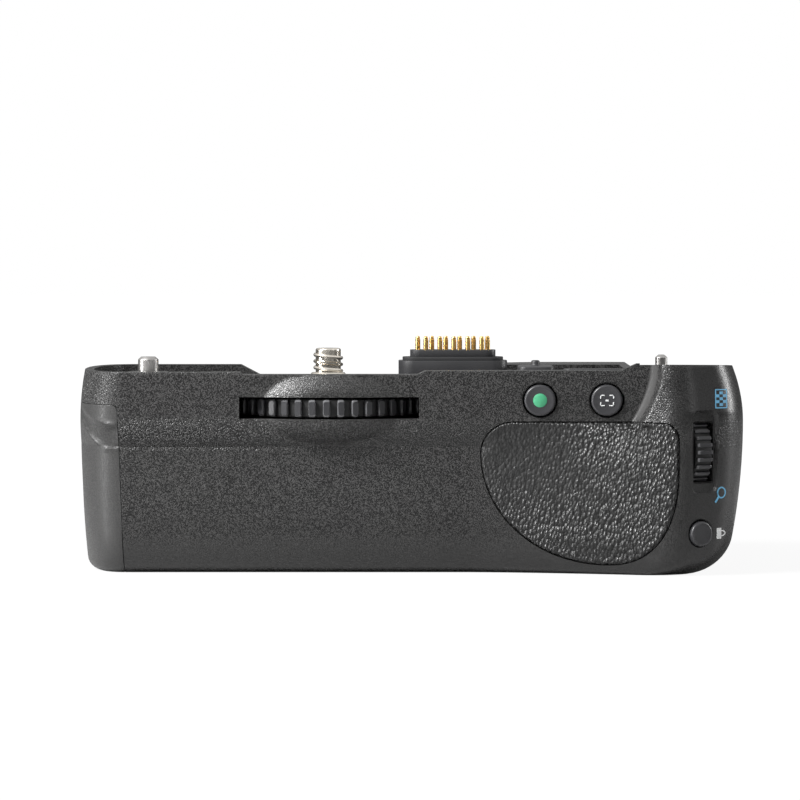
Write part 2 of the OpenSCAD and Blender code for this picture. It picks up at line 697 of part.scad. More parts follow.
// Cap of the camera's contacts, kept in its place on the deck
stored_w = 7;
stored_d = 11;
stored_h = deck_in + 0.7;
stored_knob_r = 0.85;
module stored_cap() color("#18181a") translate([button_x - 0.4, 0, deck_z]) {
  slab(stored_w, stored_d, stored_h, 1.5);
  translate([0, 0, stored_h - 0.5]) cylinder(r = stored_knob_r, h = 1.6);
}

// Battery tray with its end cap, pack and lock
knob_x1 = -left_reach + 4.2;
knob_x0 = knob_x1 - knob_t;
lock_shaft_r = 2.5;
module at_knob() {
  translate([0, tray_y, lock_axis_z]) children();
}
module tray_frame() color("#26272a") difference() {
  union() {
    for (s = [-1, 1])
      box(-left_reach, tray_x1, tray_y + s * tray_half - (s > 0 ? tray_t : 0),
        tray_y + s * tray_half + (s > 0 ? 0 : tray_t), tray_z0, pack_z0 + pack_h - 3);
    box(bulkhead_x, tray_x1, tray_y - tray_half, tray_y + tray_half, tray_z0, pack_z0);
    box(bulkhead_x, bulkhead_x + tray_t, tray_y - tray_half, tray_y + tray_half, tray_z0, pack_z0 + pack_h);
    box(tray_x1 - tray_t, tray_x1, tray_y - tray_half, tray_y + tray_half, tray_z0, pack_z0 + pack_h);
  }
  cap_region(seam);
  translate([tray_x1 - tray_t - 1, tray_y - blade_span, pack_z0 + 2])
    cube([tray_t + 2, 2 * blade_span, 2 * terminal_h - 1]);
}
// Hollow for the finger across the rear corner of the cap, rising to the left end
scoop_in = 0.9;
scoop_z1 = ledge_top_z - 0.6;
scoop_z0 = ledge_top_z - ledge_h - 0.5;
module finger_scoop() difference() {
  rotate([90, 0, 0]) linear_extrude(big) polygon(concat(
    bend([-left_reach - 1, scoop_z1 + 3], [-left_reach + 5, scoop_z1], [-seam_low + 2, scoop_z1], 4),
    [[-seam_low + 2, scoop_z1], [-seam_low + 2, scoop_z0]],
    bend([-seam_high - 0.6, scoop_z0], [-left_reach + 2.6, scoop_z0],
      [-left_reach - 1, scoop_z1 + 0.8], 5)));
  translate([0, scoop_in, 0]) body_form();
}
module tray_cap() color("#3c3d40") difference() {
  intersection() {
    body_form();
    cap_region(seam);
  }
  at_knob() {
    rotate([0, -90, 0]) translate([0, 0, -knob_x1 - seam]) cylinder(r = knob_r + side_gap, h = big);
    rotate([0, -90, 0]) cylinder(r = lock_shaft_r + turn_gap, h = big);
  }
  finger_scoop();
}
module battery_pack() color("#4a4c52") difference() {
  translate([pack_x0 + pack_l / 2, tray_y, pack_z0]) slab(pack_l, pack_w, pack_h, 2);
  translate([pack_x1 - terminal_t, tray_y - blade_span + seam, pack_z0 + terminal_up])
    cube([terminal_t + 1, 2 * (blade_span - seam), terminal_h]);
}
module pack_terminals() color("#d8b25a") for (i = [-1 : 1])
  translate([pack_x1 - terminal_t, tray_y + blade_pitch * i - terminal_w / 2, pack_z0 + terminal_up])
    cube([2 * terminal_t, terminal_w, terminal_h]);

lever_t = 1.9;
lever_x = knob_x0 + 0.2;
hinge_drop = lever_l / 2 - 1;
module lock_shaft() color("#a8a9ad") at_knob()
  translate([knob_x1, 0, 0]) rotate([0, 90, 0])
    cylinder(r = lock_shaft_r, h = tongue_x + tongue_t - knob_x1);
module lock_knob() color("#2b2c2f") at_knob() difference() {
  rotate([0, -90, 0]) translate([0, 0, -knob_x1]) cylinder(r = knob_r, h = knob_t);
  box(lever_x - 1, lever_x + lever_t + 0.3, -lever_w / 2 - side_gap, lever_w / 2 + side_gap,
    -hinge_drop - lever_t / 2 - side_gap, hinge_drop + 1 + side_gap);
  translate([lever_x + lever_t / 2, 0, -hinge_drop]) rotate([90, 0, 0])
    translate([0, 0, -lever_w / 2 - 1.4]) cylinder(r = 0.5, h = lever_w + 2.8, $fn = 32);
}
module lock_tongue() color("#a8a9ad") at_knob() difference() {
  reach = (chamber_in_z1 - chamber_z0 - chamber_t) / 2 + 0.35 * chamber_t;
  box(tongue_x, tongue_x + tongue_t, -reach, reach, -tongue_w / 2, tongue_w / 2);
  rotate([0, 90, 0]) translate([0, 0, -big / 2]) cylinder(r = lock_shaft_r, h = big);
}
module lock_lever() color("#333438") at_knob() difference() {
  union() {
    box(lever_x, lever_x + lever_t, -lever_w / 2, lever_w / 2, -hinge_drop, hinge_drop + 1);
    translate([lever_x + lever_t / 2, lever_w / 2, -hinge_drop]) rotate([90, 0, 0])
      cylinder(r = lever_t / 2, h = lever_w, $fn = 32);
  }
  translate([lever_x + lever_t / 2, big / 2, -hinge_drop]) rotate([90, 0, 0])
    cylinder(r = 0.5 + turn_gap, h = big, $fn = 32);
}
module lever_pin() color("#c9c9cc") at_knob()
  translate([lever_x + lever_t / 2, lever_w / 2 + 1.4, -hinge_drop]) rotate([90, 0, 0])
    cylinder(r = 0.5, h = lever_w + 2.8, $fn = 32);

// Rear buttons, each a cap on a stem that is clipped in from inside, with their board
stem_r = 1.2;
clip_r = 2.2;
clip_t = 0.9;
button_stop = cavity_y0 - 0.7;
button_back = button_stop - button_travel - 0.1;
clip_y = cavity_y0 + 0.15;
clip_top = deck_z0 - 0.3 - button_z;
button_edge = 0.5;
switch_w = 4;
switch_d = 2.2;
board_t = 1.2;
board_y = clip_y + clip_t + button_travel + seam + switch_d;
module rear_button(x) translate([x, 0, button_z]) rotate([-90, 0, 0]) {
  rotate_extrude() polygon([
    [0, -rear_reach - button_out], [button_r - button_edge, -rear_reach - button_out],
    [button_r, -rear_reach - button_out + button_edge], [button_r, button_back], [stem_r, button_back],
    [stem_r, clip_y + clip_t], [0, clip_y + clip_t]]);
  translate([0, 0, clip_y]) intersection() {
    cylinder(r = clip_r, h = clip_t);
    translate([-clip_r, -clip_top, -1]) cube([2 * clip_r, clip_top + clip_r, clip_t + 2]);
  }
}
module green_button() color("#2b2c2f") rear_button(button_x);
module focus_button() color("#2b2c2f") rear_button(button_x + button_pitch);
module button_switches() color("#b9b9bd") for (x = [button_x, button_x + button_pitch])
  box(x - switch_w / 2, x + switch_w / 2, board_y - switch_d, board_y,
    button_z - switch_w / 2, min(button_z + switch_w / 2, deck_z0 - 0.3));
module button_board() color("#1f5a3a")
  box(button_x - switch_w, cavity_x1, board_y, board_y + board_t, chamber_z1 + board_t, deck_z0);

// Lock button, the two dials and the shutter button
lock_edge = 0.4;
lock_root = 2.6;
module lock_button() color("#2b2c2f") at_lock() rotate_extrude() polygon([
  [0, -lock_bore + lock_root], [lock_r, -lock_bore + lock_root], [lock_r, button_out - lock_edge],
  [lock_r - lock_edge, button_out], [0, button_out]]);
module lock_switch() color("#b9b9bd") at_lock()
  translate([0, 0, -lock_bore]) cylinder(r = lock_r - 0.3, h = 1.7);
module rear_dial() color("#17181a") at_dial() difference() {
  dial_x();
  disc_x(shaft_r, 2 * dial_w);
}
module rear_dial_shaft() color("#a8a9ad") at_dial() disc_x(shaft_r, shaft_l);
module front_dial() color("#17181a") at_front_dial() difference() {
  dial_x();
  disc_x(shaft_r, 2 * dial_w);
}
module front_dial_shaft() color("#a8a9ad") at_front_dial() disc_x(shaft_r, shaft_l);
shutter_root = 3.4;
shutter_edge = 0.6;
shutter_out = 2.2;
module shutter_button() color("#b0b1b5") at_shutter() rotate_extrude() polygon([
  [0, -shutter_bore + shutter_root], [shutter_r, -shutter_bore + shutter_root],
  [shutter_r, shutter_out - shutter_edge], [shutter_r - shutter_edge, shutter_out], [0, shutter_out]]);
module shutter_switch() color("#b9b9bd") at_shutter()
  translate([0, 0, -shutter_bore]) cylinder(r = shutter_r - 0.5, h = 2.2);
module power_ring() color("#2b2c2f") at_shutter() {
  difference() {
    translate([0, 0, -spot_in + seam]) cylinder(r = ring_r, h = spot_in - seam + 1);
    translate([0, 0, -spot_in - 1]) cylinder(r = shutter_r + side_gap, h = big);
  }
  translate([shutter_r + side_gap + 0.4, -1, 1]) cube([ring_r - shutter_r - side_gap - 0.9, 2, 1.2]);
}

// Main board with its parts and the ribbon to the contact block
bay_mid_y = (cavity_y0 + cavity_y1) / 2;
module circuit_board() color("#1f5a3a")
  box(bay_x0 + 0.5, cavity_x1 - 0.5, cavity_y0 + 3.5, cavity_y1 - 3.5, bay_z0, bay_z0 + board_t);
chip_w = 9;
coil_w = 6;
module board_parts() color("#2a2a2c") translate([(bay_x0 + cavity_x1) / 2, bay_mid_y, bay_z0 + board_t]) {
  translate([chip_w / 2, -chip_w / 2, 0]) slab(chip_w, chip_w, chip_w / 6, 0.3);
  translate([chip_w / 2, coil_w + 2, 0]) slab(coil_w, coil_w, coil_w / 2.5, 0.3);
  translate([1.25 * chip_w, coil_w / 2, 0]) slab(coil_w / 2, coil_w, coil_w / 3, 0.3);
}
ribbon_w = 5.6;
ribbon_t = 0.4;
ribbon_in = 4.5;
ribbon_x = max(bay_x0 + 1, contact_x + contact_w / 2 - ribbon_in);
module flex_cable() color("#b5772e")
  box(ribbon_x, ribbon_x + ribbon_t, contact_y - ribbon_w / 2, contact_y + ribbon_w / 2,
    bay_z0 + board_t, deck_z0 - 1);

rear_cover();
front_cover();
base_plate();
top_plate();
battery_chamber();
chamber_contacts();
thumb_pad();
grip_pad();
left_pin();
right_pin();
tripod_socket();
wheel_bearing();
screw_bush();
thumbwheel();
camera_screw();
contact_base();
contact_seal();
contact_block();
contact_pins();
stored_cap();
tray_frame();
tray_cap();
battery_pack();
pack_terminals();
lock_knob();
lock_shaft();
lock_tongue();
lock_lever();
lever_pin();
green_button();
focus_button();
button_board();
button_switches();
lock_button();
lock_switch();
rear_dial();
rear_dial_shaft();
front_dial();
front_dial_shaft();
shutter_button();
shutter_switch();
power_ring();
circuit_board();
board_parts();
flex_cable();
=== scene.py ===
# %% [markdown]
# # A camera battery grip
# The grip screws under a camera. It holds a second battery in a sliding tray and repeats the
# camera's buttons and dials, so that the camera can be held upright. The solids already give every
# size and every moving body. This lesson loads them and then makes each visible piece again, with
# the roundings, grain and finish that the real moulded and turned parts have.

# %% Load the solids
import json
import math

import bmesh
import bpy
import numpy as np
from mathutils import Matrix, Vector, noise
from mathutils.bvhtree import BVHTree


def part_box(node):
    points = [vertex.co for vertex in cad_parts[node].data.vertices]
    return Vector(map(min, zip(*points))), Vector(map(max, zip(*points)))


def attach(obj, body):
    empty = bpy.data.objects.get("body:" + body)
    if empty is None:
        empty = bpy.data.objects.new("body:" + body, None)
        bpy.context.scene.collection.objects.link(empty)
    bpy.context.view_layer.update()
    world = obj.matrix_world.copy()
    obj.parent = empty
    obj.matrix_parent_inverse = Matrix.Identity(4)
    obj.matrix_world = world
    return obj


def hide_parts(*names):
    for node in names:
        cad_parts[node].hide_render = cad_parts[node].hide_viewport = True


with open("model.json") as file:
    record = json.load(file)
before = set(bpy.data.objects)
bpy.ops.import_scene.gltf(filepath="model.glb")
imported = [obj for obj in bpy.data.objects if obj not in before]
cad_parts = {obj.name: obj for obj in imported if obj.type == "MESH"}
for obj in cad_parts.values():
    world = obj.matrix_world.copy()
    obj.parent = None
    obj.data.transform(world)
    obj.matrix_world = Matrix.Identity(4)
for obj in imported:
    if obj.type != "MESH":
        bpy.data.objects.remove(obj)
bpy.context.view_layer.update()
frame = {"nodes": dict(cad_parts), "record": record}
MM = 0.001


def span(node):
    """Lowest and highest corner of a solid, in millimetres."""
    low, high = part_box(node)
    return np.array(low) / MM, np.array(high) / MM


# %% [markdown]
# ## Camera, light and floor
# The picture was taken from straight behind with a long lens, a little above the rim, so that the
# flat top shows as a thin strip. A long lens far away gives the same flat look. One large soft lamp
# at the upper left makes the gradients, and the pale floor and world stand for the white table.

# %% Camera
photo_px = 800
focal_px = 4550
sensor_mm = 36
camera_at = Vector((14.2, -900, 70)) * MM
camera_aim = Vector((14.2, -15, 34)) * MM

scene = bpy.context.scene
lens = bpy.data.cameras.new("photo_camera")
lens.sensor_width = sensor_mm
lens.lens = sensor_mm * focal_px / photo_px
lens.clip_start, lens.clip_end = 0.01, 20
camera = bpy.data.objects.new("photo_camera", lens)
camera.location = camera_at
camera.rotation_euler = (camera_aim - camera_at).to_track_quat("-Z", "Y").to_euler()
scene.collection.objects.link(camera)
scene.camera = camera
scene.view_settings.view_transform = "Standard"
print("lens of", round(lens.lens, 1), "mm at", round((camera_aim - camera_at).length, 2), "m")

# %% [markdown]
# ## Writing shaders as sums
# A node tree reads badly as a list of links. Wrapping a socket in a small class lets a sum such as
# `1 - grain * 0.4` add its own Math nodes. One method adds any other node: its settings go in
# first, because some of them change which sockets exist, and then its values and links.


# %% A socket that can be added, multiplied and linked
class Reading:
    """A node's output. Sums with numbers or other readings add Math nodes to the same tree."""

    def __init__(self, tree, socket):
        self.tree, self.socket = tree, socket

    def math(self, operation, first, second):
        return self.tree.node("ShaderNodeMath", {"operation": operation}, {0: first, 1: second})

    def __add__(self, other):
        return self.math("ADD", self, other)

    def __sub__(self, other):
        return self.math("SUBTRACT", self, other)

    def __rsub__(self, other):
        return self.math("SUBTRACT", other, self)

    def __mul__(self, other):
        return self.math("MULTIPLY", self, other)

    def __truediv__(self, other):
        return self.math("DIVIDE", self, other)

    def __pow__(self, other):
        return self.math("POWER", self, other)

    __radd__ = __add__
    __rmul__ = __mul__


class Tree:
    """A node tree, for a finish or for geometry, with one method that adds any node."""

    def __init__(self, tree):
        self.tree = tree

    def join(self, value, socket):
        if isinstance(value, Reading):
            self.tree.links.new(value.socket, socket)
        else:
            socket.default_value = value

    def node(self, kind, settings=None, sockets=None, out=0):
        made = self.tree.nodes.new(kind)
        for name, value in (settings or {}).items():
            if name == "stops":
                for stop, (place, level) in zip(made.color_ramp.elements, value):
                    stop.position, stop.color = place, (level, level, level, 1)
            else:
                setattr(made, name, value)
        for name, value in (sockets or {}).items():
            self.join(value, made.inputs[name])
        return Reading(self, made.outputs[out])


class Finish(Tree):
    """A material. `put` sets or links one socket of its shader."""

    def __init__(self, name, colour, roughness, **constants):
        self.material = bpy.data.materials.new(name)
        self.material.use_nodes = True
        super().__init__(self.material.node_tree)
        self.shader = self.tree.nodes["Principled BSDF"]
        self.colour = (*colour, 1)
        self.put("Base Color", self.colour)
        self.put("Roughness", roughness)
        for socket, value in constants.items():
            self.put(socket.replace("_", " "), value)
        self.place = self.node("ShaderNodeTexCoord", out="Object")

    def put(self, socket, value):
        self.join(value, self.shader.inputs[socket])

    def axis(self, name):
        """One coordinate of the object's own place, in metres."""
        return self.node("ShaderNodeSeparateXYZ", {}, {"Vector": self.place}, out=name)

    def grain(self, size_mm, detail=2.0, place=None):
        """Noise whose lumps are about size_mm across."""
        sockets = {"Vector": place or self.place, "Scale": 1 / (size_mm * MM), "Detail": detail}
        return self.node("ShaderNodeTexNoise", {"noise_dimensions": "3D"}, sockets)

    def ramp(self, value, low, high, dark=0.0, light=1.0):
        """A soft step from dark to light while value goes from low to high."""
        stops = [(low, dark), (high, light)]
        return self.node("ShaderNodeValToRGB", {"stops": stops}, {"Fac": value})

    def blend(self, share, first, second):
        """A colour between two colours."""
        return self.node("ShaderNodeMix", {"data_type": "RGBA"}, {0: share, 6: first, 7: second}, out=2)

    def tint(self, share, dark, light):
        """Base colour that goes from dark to light times the finish's own colour."""
        shades = [tuple(c * level for c in self.colour[:3]) + (1,) for level in (dark, light)]
        self.put("Base Color", self.blend(share, *shades))

    def bump(self, height, depth_mm, strength=1.0):
        sockets = {"Height": height, "Distance": depth_mm * MM, "Strength": strength}
        self.put("Normal", self.node("ShaderNodeBump", {}, sockets))

    def stretched(self, x, y, z):
        """The object's own place, stretched along its axes, for marks that run one way."""
        return self.node("ShaderNodeMapping", {}, {"Vector": self.place, "Scale": (x, y, z)})


print("shader tools ready")

# %% [markdown]
# ## Lights
# A lamp of a few watts at this distance lights a surface so that its colour renders about as it is
# written. The world adds a soft base light. Rays from the camera see plain white, and gloss sees a
# white ceiling that darkens towards the horizon, so that upright dark walls stay dark.

# %% Lamps, world and floor
world = bpy.data.worlds.new("white_room")
world.use_nodes = True
scene.world = world
room = Tree(world.node_tree)
background = world.node_tree.nodes["Background"]
seen = room.node("ShaderNodeLightPath", out="Is Camera Ray")
mirrored = room.node("ShaderNodeLightPath", out="Is Glossy Ray")
through = room.node("ShaderNodeLightPath", out="Is Transmission Ray")
base_light = 0.06
ahead = room.node("ShaderNodeTexCoord", out="Generated")
upward = room.node("ShaderNodeSeparateXYZ", {}, {"Vector": ahead}, out="Z")
ceiling = room.node("ShaderNodeValToRGB", {"stops": [(0.12, 0.06), (0.6, 0.9)]}, {"Fac": upward})
lit = seen + mirrored * ceiling + through
white = room.node("ShaderNodeMath", {"operation": "MINIMUM"}, {0: lit, 1: 1.0})
room.join((1, 1, 1, 1), background.inputs["Color"])
room.join(white * (1 - base_light) + base_light, background.inputs["Strength"])


def lamp(name, place_mm, aim_mm, size_mm, watts):
    light = bpy.data.lights.new(name, "AREA")
    light.shape = "RECTANGLE"
    light.size, light.size_y = (side * MM for side in size_mm)
    light.energy = watts
    made = bpy.data.objects.new(name, light)
    made.location = Vector(place_mm) * MM
    made.rotation_euler = (Vector(aim_mm) - Vector(place_mm)).to_track_quat("-Z", "Y").to_euler()
    scene.collection.objects.link(made)


lamp("key_lamp", (-330, -240, 390), (0, -10, 24), (170, 170), 6.0)
lamp("left_lamp", (-560, -130, 70), (0, -10, 24), (100, 160), 1.2)
lamp("right_lamp", (700, -600, 350), (50, 0, 24), (300, 300), 0.35)
lamp("edge_lamp", (560, 120, 150), (70, 0, 24), (120, 200), 1.0)

floor_mesh = bpy.data.meshes.new("floor")
floor_half = 3.0
square = ((-1, -1), (1, -1), (1, 1), (-1, 1))
floor_mesh.from_pydata([(x * floor_half, y * floor_half, 0) for x, y in square], [], [(0, 1, 2, 3)])
floor = bpy.data.objects.new("floor", floor_mesh)
scene.collection.objects.link(floor)
table_top = Finish("table_top", (0.6, 0.6, 0.6), 0.6)
glow = table_top.node("ShaderNodeEmission", {}, {"Color": (1, 1, 1, 1), "Strength": 1.05})
own = Reading(table_top, table_top.shader.outputs[0])
eye = table_top.node("ShaderNodeLightPath", out="Is Camera Ray")
# The shadow stays near the object: further off, the eye sees only the glow.
away = table_top.node("ShaderNodeVectorMath", {"operation": "LENGTH"}, {0: table_top.place}, out="Value")
glow_share = table_top.node("ShaderNodeMapRange", {}, {0: away, 1: 0.1, 2: 0.3, 3: 0.88, 4: 1.0})
shown = table_top.node("ShaderNodeMixShader", {}, {0: eye * glow_share, 1: own, 2: glow})
table_top.join(shown, table_top.tree.nodes["Material Output"].inputs["Surface"])
floor_mesh.materials.append(table_top.material)

# %% [markdown]
# ## Finishes
# The casing is a dark plastic moulded in a tool that was etched, so it is covered in fine pebbles.
# Noise of a fifth of a millimetre gives the pebbles; the same reading darkens the hollows, lifts
# the bump and makes the tops a little shinier. The thumb rest is rubber with a leather grain. The
# screw is nickel, the locating pins are steel and the contacts are gold plated.


# %% Moulded plastics
def pebbled_plastic(name, colour, pebble_mm, contrast, depth_mm, roughness):
    """Etched plastic. Pebbles fade towards the base and on the facet, where the tool was polished."""
    made = Finish(name, colour, roughness, Specular_IOR_Level=0.5)
    pebbles = made.grain(pebble_mm, 0.0)
    lumps = made.ramp(pebbles, 0.36, 0.64)
    across, high = made.axis("X"), made.axis("Z")
    etched = made.ramp(high, 0.005, 0.013, 0.25, 1.0) * made.ramp(across, 0.0685, 0.0705, 1.0, 0.3)
    # The ledge and the upper left corner are etched deeper, and their coarse grain lightens and darkens the
    # colour strongly, as painted glints.
    ledge = made.ramp(high, 0.0245, 0.025) * made.ramp(high, 0.0292, 0.0298, 1.0, 0.0)
    corner_share = made.ramp(across + 0.5, 0.454, 0.458, 1.0, 0.0) * made.ramp(high, 0.033, 0.0345)
    deep = (ledge * made.ramp(across + 0.5, 0.49, 0.53, 1.0, 0.35) + corner_share) * (contrast / 2)
    # The hollow fillet beside the buttons is plain, matt and painted lighter as a highlight; right of it
    # the etching is shinier and painted darker as shade.
    off_mm = (across - (0.0635 - (0.041 - high) ** 2 * 30.6)) * 1000
    matt_fillet_highlight = made.ramp(off_mm * off_mm, 0.3, 1.0, 1.0, 0.0) * made.ramp(high, 0.029, 0.03)
    # Right of the fillet the etching is shinier, and its colour is painted darker as shade.
    shiny_painted_shade = made.ramp(off_mm * 0.5, 0.4, 0.9) * made.ramp(high, 0.026, 0.03)
    coarse = made.ramp(made.grain(pebble_mm * 1.5, 0.0), 0.42, 0.58)
    # Painted glints: the coarse grain's strong light and dark in the colour; its bump and shinier tops give
    # real ones.
    share = 0.5 + (lumps - 0.5) * contrast * etched * (1 - matt_fillet_highlight) + (coarse - 0.5) * deep * 3.0
    # Painted highlight: the fillet's colour is made lighter.
    share = share * (1 - shiny_painted_shade * 0.3) * (1 + matt_fillet_highlight * 1.2)
    made.tint(share * 0.5, 0.0, 4.0)
    matt = (0.12 - coarse * 0.24) * deep + matt_fillet_highlight * 0.26 - shiny_painted_shade * 0.06
    made.put("Roughness", roughness + 0.08 - lumps * 0.16 + matt)
    made.bump(pebbles * etched * (1 - matt_fillet_highlight) + coarse * deep * 2.0, depth_mm, 1.0)
    return made.material


def satin_plastic(name, colour, roughness, grain_mm=0.35, depth_mm=0.012):
    """Plain moulded plastic with a faint orange-peel grain and cloudy gloss."""
    made = Finish(name, colour, roughness)
    peel = made.grain(grain_mm, 2.0)
    clouds = made.grain(grain_mm * 20, 2.0)
    made.tint(clouds * 0.6 + peel * 0.4, 0.78, 1.22)
    made.put("Roughness", roughness - 0.08 + clouds * 0.16)
    made.bump(peel, depth_mm, 0.6)
    return made.material


casing_colour = (0.0195, 0.0192, 0.019)
casing_finish = pebbled_plastic("pebbled_casing", casing_colour, 0.2, 2.0, 0.07, 0.35)
cap_finish = pebbled_plastic("pebbled_cap", (0.03, 0.0297, 0.0293), 0.25, 0.25, 0.02, 0.48)
dark_finish = satin_plastic("dark_plastic", (0.028, 0.028, 0.030), 0.45)
deck_finish = satin_plastic("deck_plastic", (0.022, 0.022, 0.024), 0.55)
key_finish = satin_plastic("key_plastic", (0.034, 0.034, 0.037), 0.38)
seal_finish = satin_plastic("seal_rubber", (0.02, 0.02, 0.021), 0.7, 0.2, 0.02)
pack_finish = satin_plastic("pack_plastic", (0.085, 0.09, 0.10), 0.42)
switch_finish = satin_plastic("switch_plastic", (0.35, 0.35, 0.36), 0.4)
print("plastics:", casing_finish.name, cap_finish.name, dark_finish.name)


# %% Leathered rubber
def leathered_rubber(name, colour):
    """Rubber with long leather cells in its bump, on top of the relief in the mesh. Its right and low parts
    have painted glints.
    """
    made = Finish(name, colour, 0.4, Specular_IOR_Level=0.5)
    slant = made.node("ShaderNodeMapping", {"vector_type": "TEXTURE"}, {
        "Vector": made.place, "Rotation": (0, math.radians(14), 0), "Scale": (0.00055, 0.0008, 0.0009)})
    settings = {"voronoi_dimensions": "3D", "feature": "F1"}
    cells = made.node("ShaderNodeTexVoronoi", settings, {
        "Vector": slant, "Scale": 1.0, "Randomness": 1.0})
    tops = 1 - cells
    patches = made.grain(1.6, 2.0)
    across, high = made.axis("X"), made.axis("Z")
    right, low = made.ramp(across, 0.046, 0.064), made.ramp(high, 0.01, 0.018, 1.0, 0.0)
    glossy_and_painted_glints = right + low - right * low
    # Painted glints: on the right and low parts the cells' tops are lighter and their hollows darker in
    # colour; there the rubber is also glossier and its bump deeper.
    share = 0.5 + (made.ramp(tops, 0.3, 0.8) - 0.5) * (0.6 + glossy_and_painted_glints * 0.4) + (patches - 0.5) * 0.2
    made.tint(share * 0.5, 0.0, 4.0)
    made.put("Roughness", 0.5 - made.ramp(tops, 0.3, 0.7) * (0.16 + glossy_and_painted_glints * 0.1))
    made.bump(tops * (1 + glossy_and_painted_glints * 0.8), 0.22, 1.0)
    return made.material


rubber_finish = leathered_rubber("leathered_rubber", (0.014, 0.014, 0.014))
print("rubber:", rubber_finish.name)


# %% Metals, paints and boards
def turned_metal(name, colour, roughness):
    """Metal with fine lathe lines round its axis, which show as bands along it."""
    made = Finish(name, colour, roughness, Metallic=1.0)
    lines = made.grain(0.06, 1.0, place=made.stretched(0.05, 0.05, 1.0))
    clouds = made.grain(1.5, 2.0)
    made.tint(clouds, 0.82, 1.12)
    made.put("Roughness", roughness - 0.05 + lines * 0.14)
    made.bump(lines, 0.006, 0.5)
    return made.material


def printed_ink(name, colour):
    """Screen-printed ink: matt, with a slightly uneven edge of colour."""
    made = Finish(name, colour, 0.55)
    made.tint(made.grain(0.25, 2.0), 0.86, 1.1)
    made.bump(made.grain(0.15, 1.0), 0.01, 0.5)
    return made.material


nickel_finish = turned_metal("turned_nickel", (0.78, 0.73, 0.65), 0.22)
steel_finish = turned_metal("turned_steel", (0.42, 0.41, 0.40), 0.34)
gold_finish = turned_metal("gold_plate", (0.86, 0.58, 0.22), 0.22)
green_finish = printed_ink("green_inlay", (0.06, 0.36, 0.18))
blue_finish = printed_ink("blue_ink", (0.16, 0.48, 0.74))
white_finish = printed_ink("white_ink", (0.75, 0.76, 0.76))
board_finish = satin_plastic("solder_mask", (0.02, 0.13, 0.06), 0.35)
ribbon_finish = satin_plastic("ribbon_film", (0.5, 0.25, 0.06), 0.3)
print("metals and inks:", nickel_finish.name, steel_finish.name, gold_finish.name)

# %% [markdown]
# ## From points to pieces
# Every piece is built in millimetres where it belongs and stored in metres at the origin, so that
# it moves with its body without any fitting. Each piece rides on a body, takes the place of a solid
# where there is one, and is smooth except along edges sharper than a set angle.


# %% Making and dressing a piece
def new_mesh(name, points_mm, faces):
    mesh = bpy.data.meshes.new(name)
    mesh.from_pydata([tuple(float(c) * MM for c in p) for p in points_mm], [], faces)
    mesh.validate()
    return mesh


def new_object(name, points_mm, faces):
    made = bpy.data.objects.new(name, new_mesh(name, points_mm, faces))
    scene.collection.objects.link(made)
    return made


def smooth(piece, angle=32):
    piece.data.polygons.foreach_set("use_smooth", [True] * len(piece.data.polygons))
    piece.data.set_sharp_from_angle(angle=math.radians(angle))


def outward(piece):
    """Merges doubles and turns every face of a closed piece outwards."""
    bm = bmesh.new()
    bm.from_mesh(piece.data)
    bmesh.ops.remove_doubles(bm, verts=bm.verts, dist=1e-7)
    bmesh.ops.recalc_face_normals(bm, faces=bm.faces)
    bm.to_mesh(piece.data)
    bm.free()


body_of = {n: b for b, nodes in frame["record"]["behaviour"]["bodies"].items() for n in nodes}


def dress(piece, material, node, replace=True, angle=32):
    """Gives a piece its finish, and the body of a solid, which it replaces or sits on."""
    piece.data.materials.clear()
    piece.data.materials.append(material)
    smooth(piece, angle)
    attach(piece, body_of[node])
    if replace:
        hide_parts(node)
    return piece


def bake(piece):
    """Applies all modifiers by turning the evaluated object into a plain mesh."""
    bpy.context.view_layer.update()
    depsgraph = bpy.context.evaluated_depsgraph_get()
    result = bpy.data.meshes.new_from_object(piece.evaluated_get(depsgraph))
    piece.modifiers.clear()
    piece.data = result
    return piece


def turn(points_mm, matrix):
    return [matrix @ Vector(p) for p in points_mm]


# %% [markdown]
# ## Round pieces
# Pins, buttons and wheels are turned or moulded round an axis. A profile of radius and height, spun
# round the axis, makes them. Small roundings are points on arcs in that profile.


# %% Spinning a profile
def rounding(r, z, radius, start, end, count=5):
    """Points of an arc in a profile, round the middle (r, z)."""
    angles = np.radians(np.linspace(start, end, count))
    return [(r + radius * math.cos(a), z + radius * math.sin(a)) for a in angles]


def spun(name, profile, sides=64, place=None):
    """A closed solid of revolution about Z. The profile starts and ends on the axis."""
    points, faces = [], []
    inner = profile[1:-1]
    for r, z in inner:
        for k in range(sides):
            a = 2 * math.pi * k / sides
            points.append((r * math.cos(a), r * math.sin(a), z))
    for j in range(len(inner) - 1):
        for k in range(sides):
            m = (k + 1) % sides
            faces.append((j * sides + k, j * sides + m, (j + 1) * sides + m, (j + 1) * sides + k))
    first, last = len(points), len(points) + 1
    points += [(0, 0, profile[0][1]), (0, 0, profile[-1][1])]
    top = (len(inner) - 1) * sides
    for k in range(sides):
        m = (k + 1) % sides
        faces.append((first, m, k))
        faces.append((last, top + k, top + m))
    made = new_object(name, turn(points, place or Matrix.Identity(4)), faces)
    outward(made)
    return made


def facing(place_mm, direction):
    """Matrix that puts the Z axis of a spun piece along a direction."""
    lean = Vector(direction).to_track_quat("Z", "Y").to_matrix().to_4x4()
    return Matrix.Translation(Vector(place_mm)) @ lean


print("helpers ready; bodies:", sorted(set(body_of.values())))

# %% [markdown]
# ## The form of the casing
# The casing is a loft: plan outlines stacked up the height. The rear wall has a ledge, an eye-shaped
# swelling round the fastening wheel and a thumb rest that rises to a crest; the right end carries a
# slanted facet, and the hand grip swells out at the front. Formulas give each outline, as they do in
# the solids, but here with many more points, a rounded crest and the finger hollow of the tray cap.

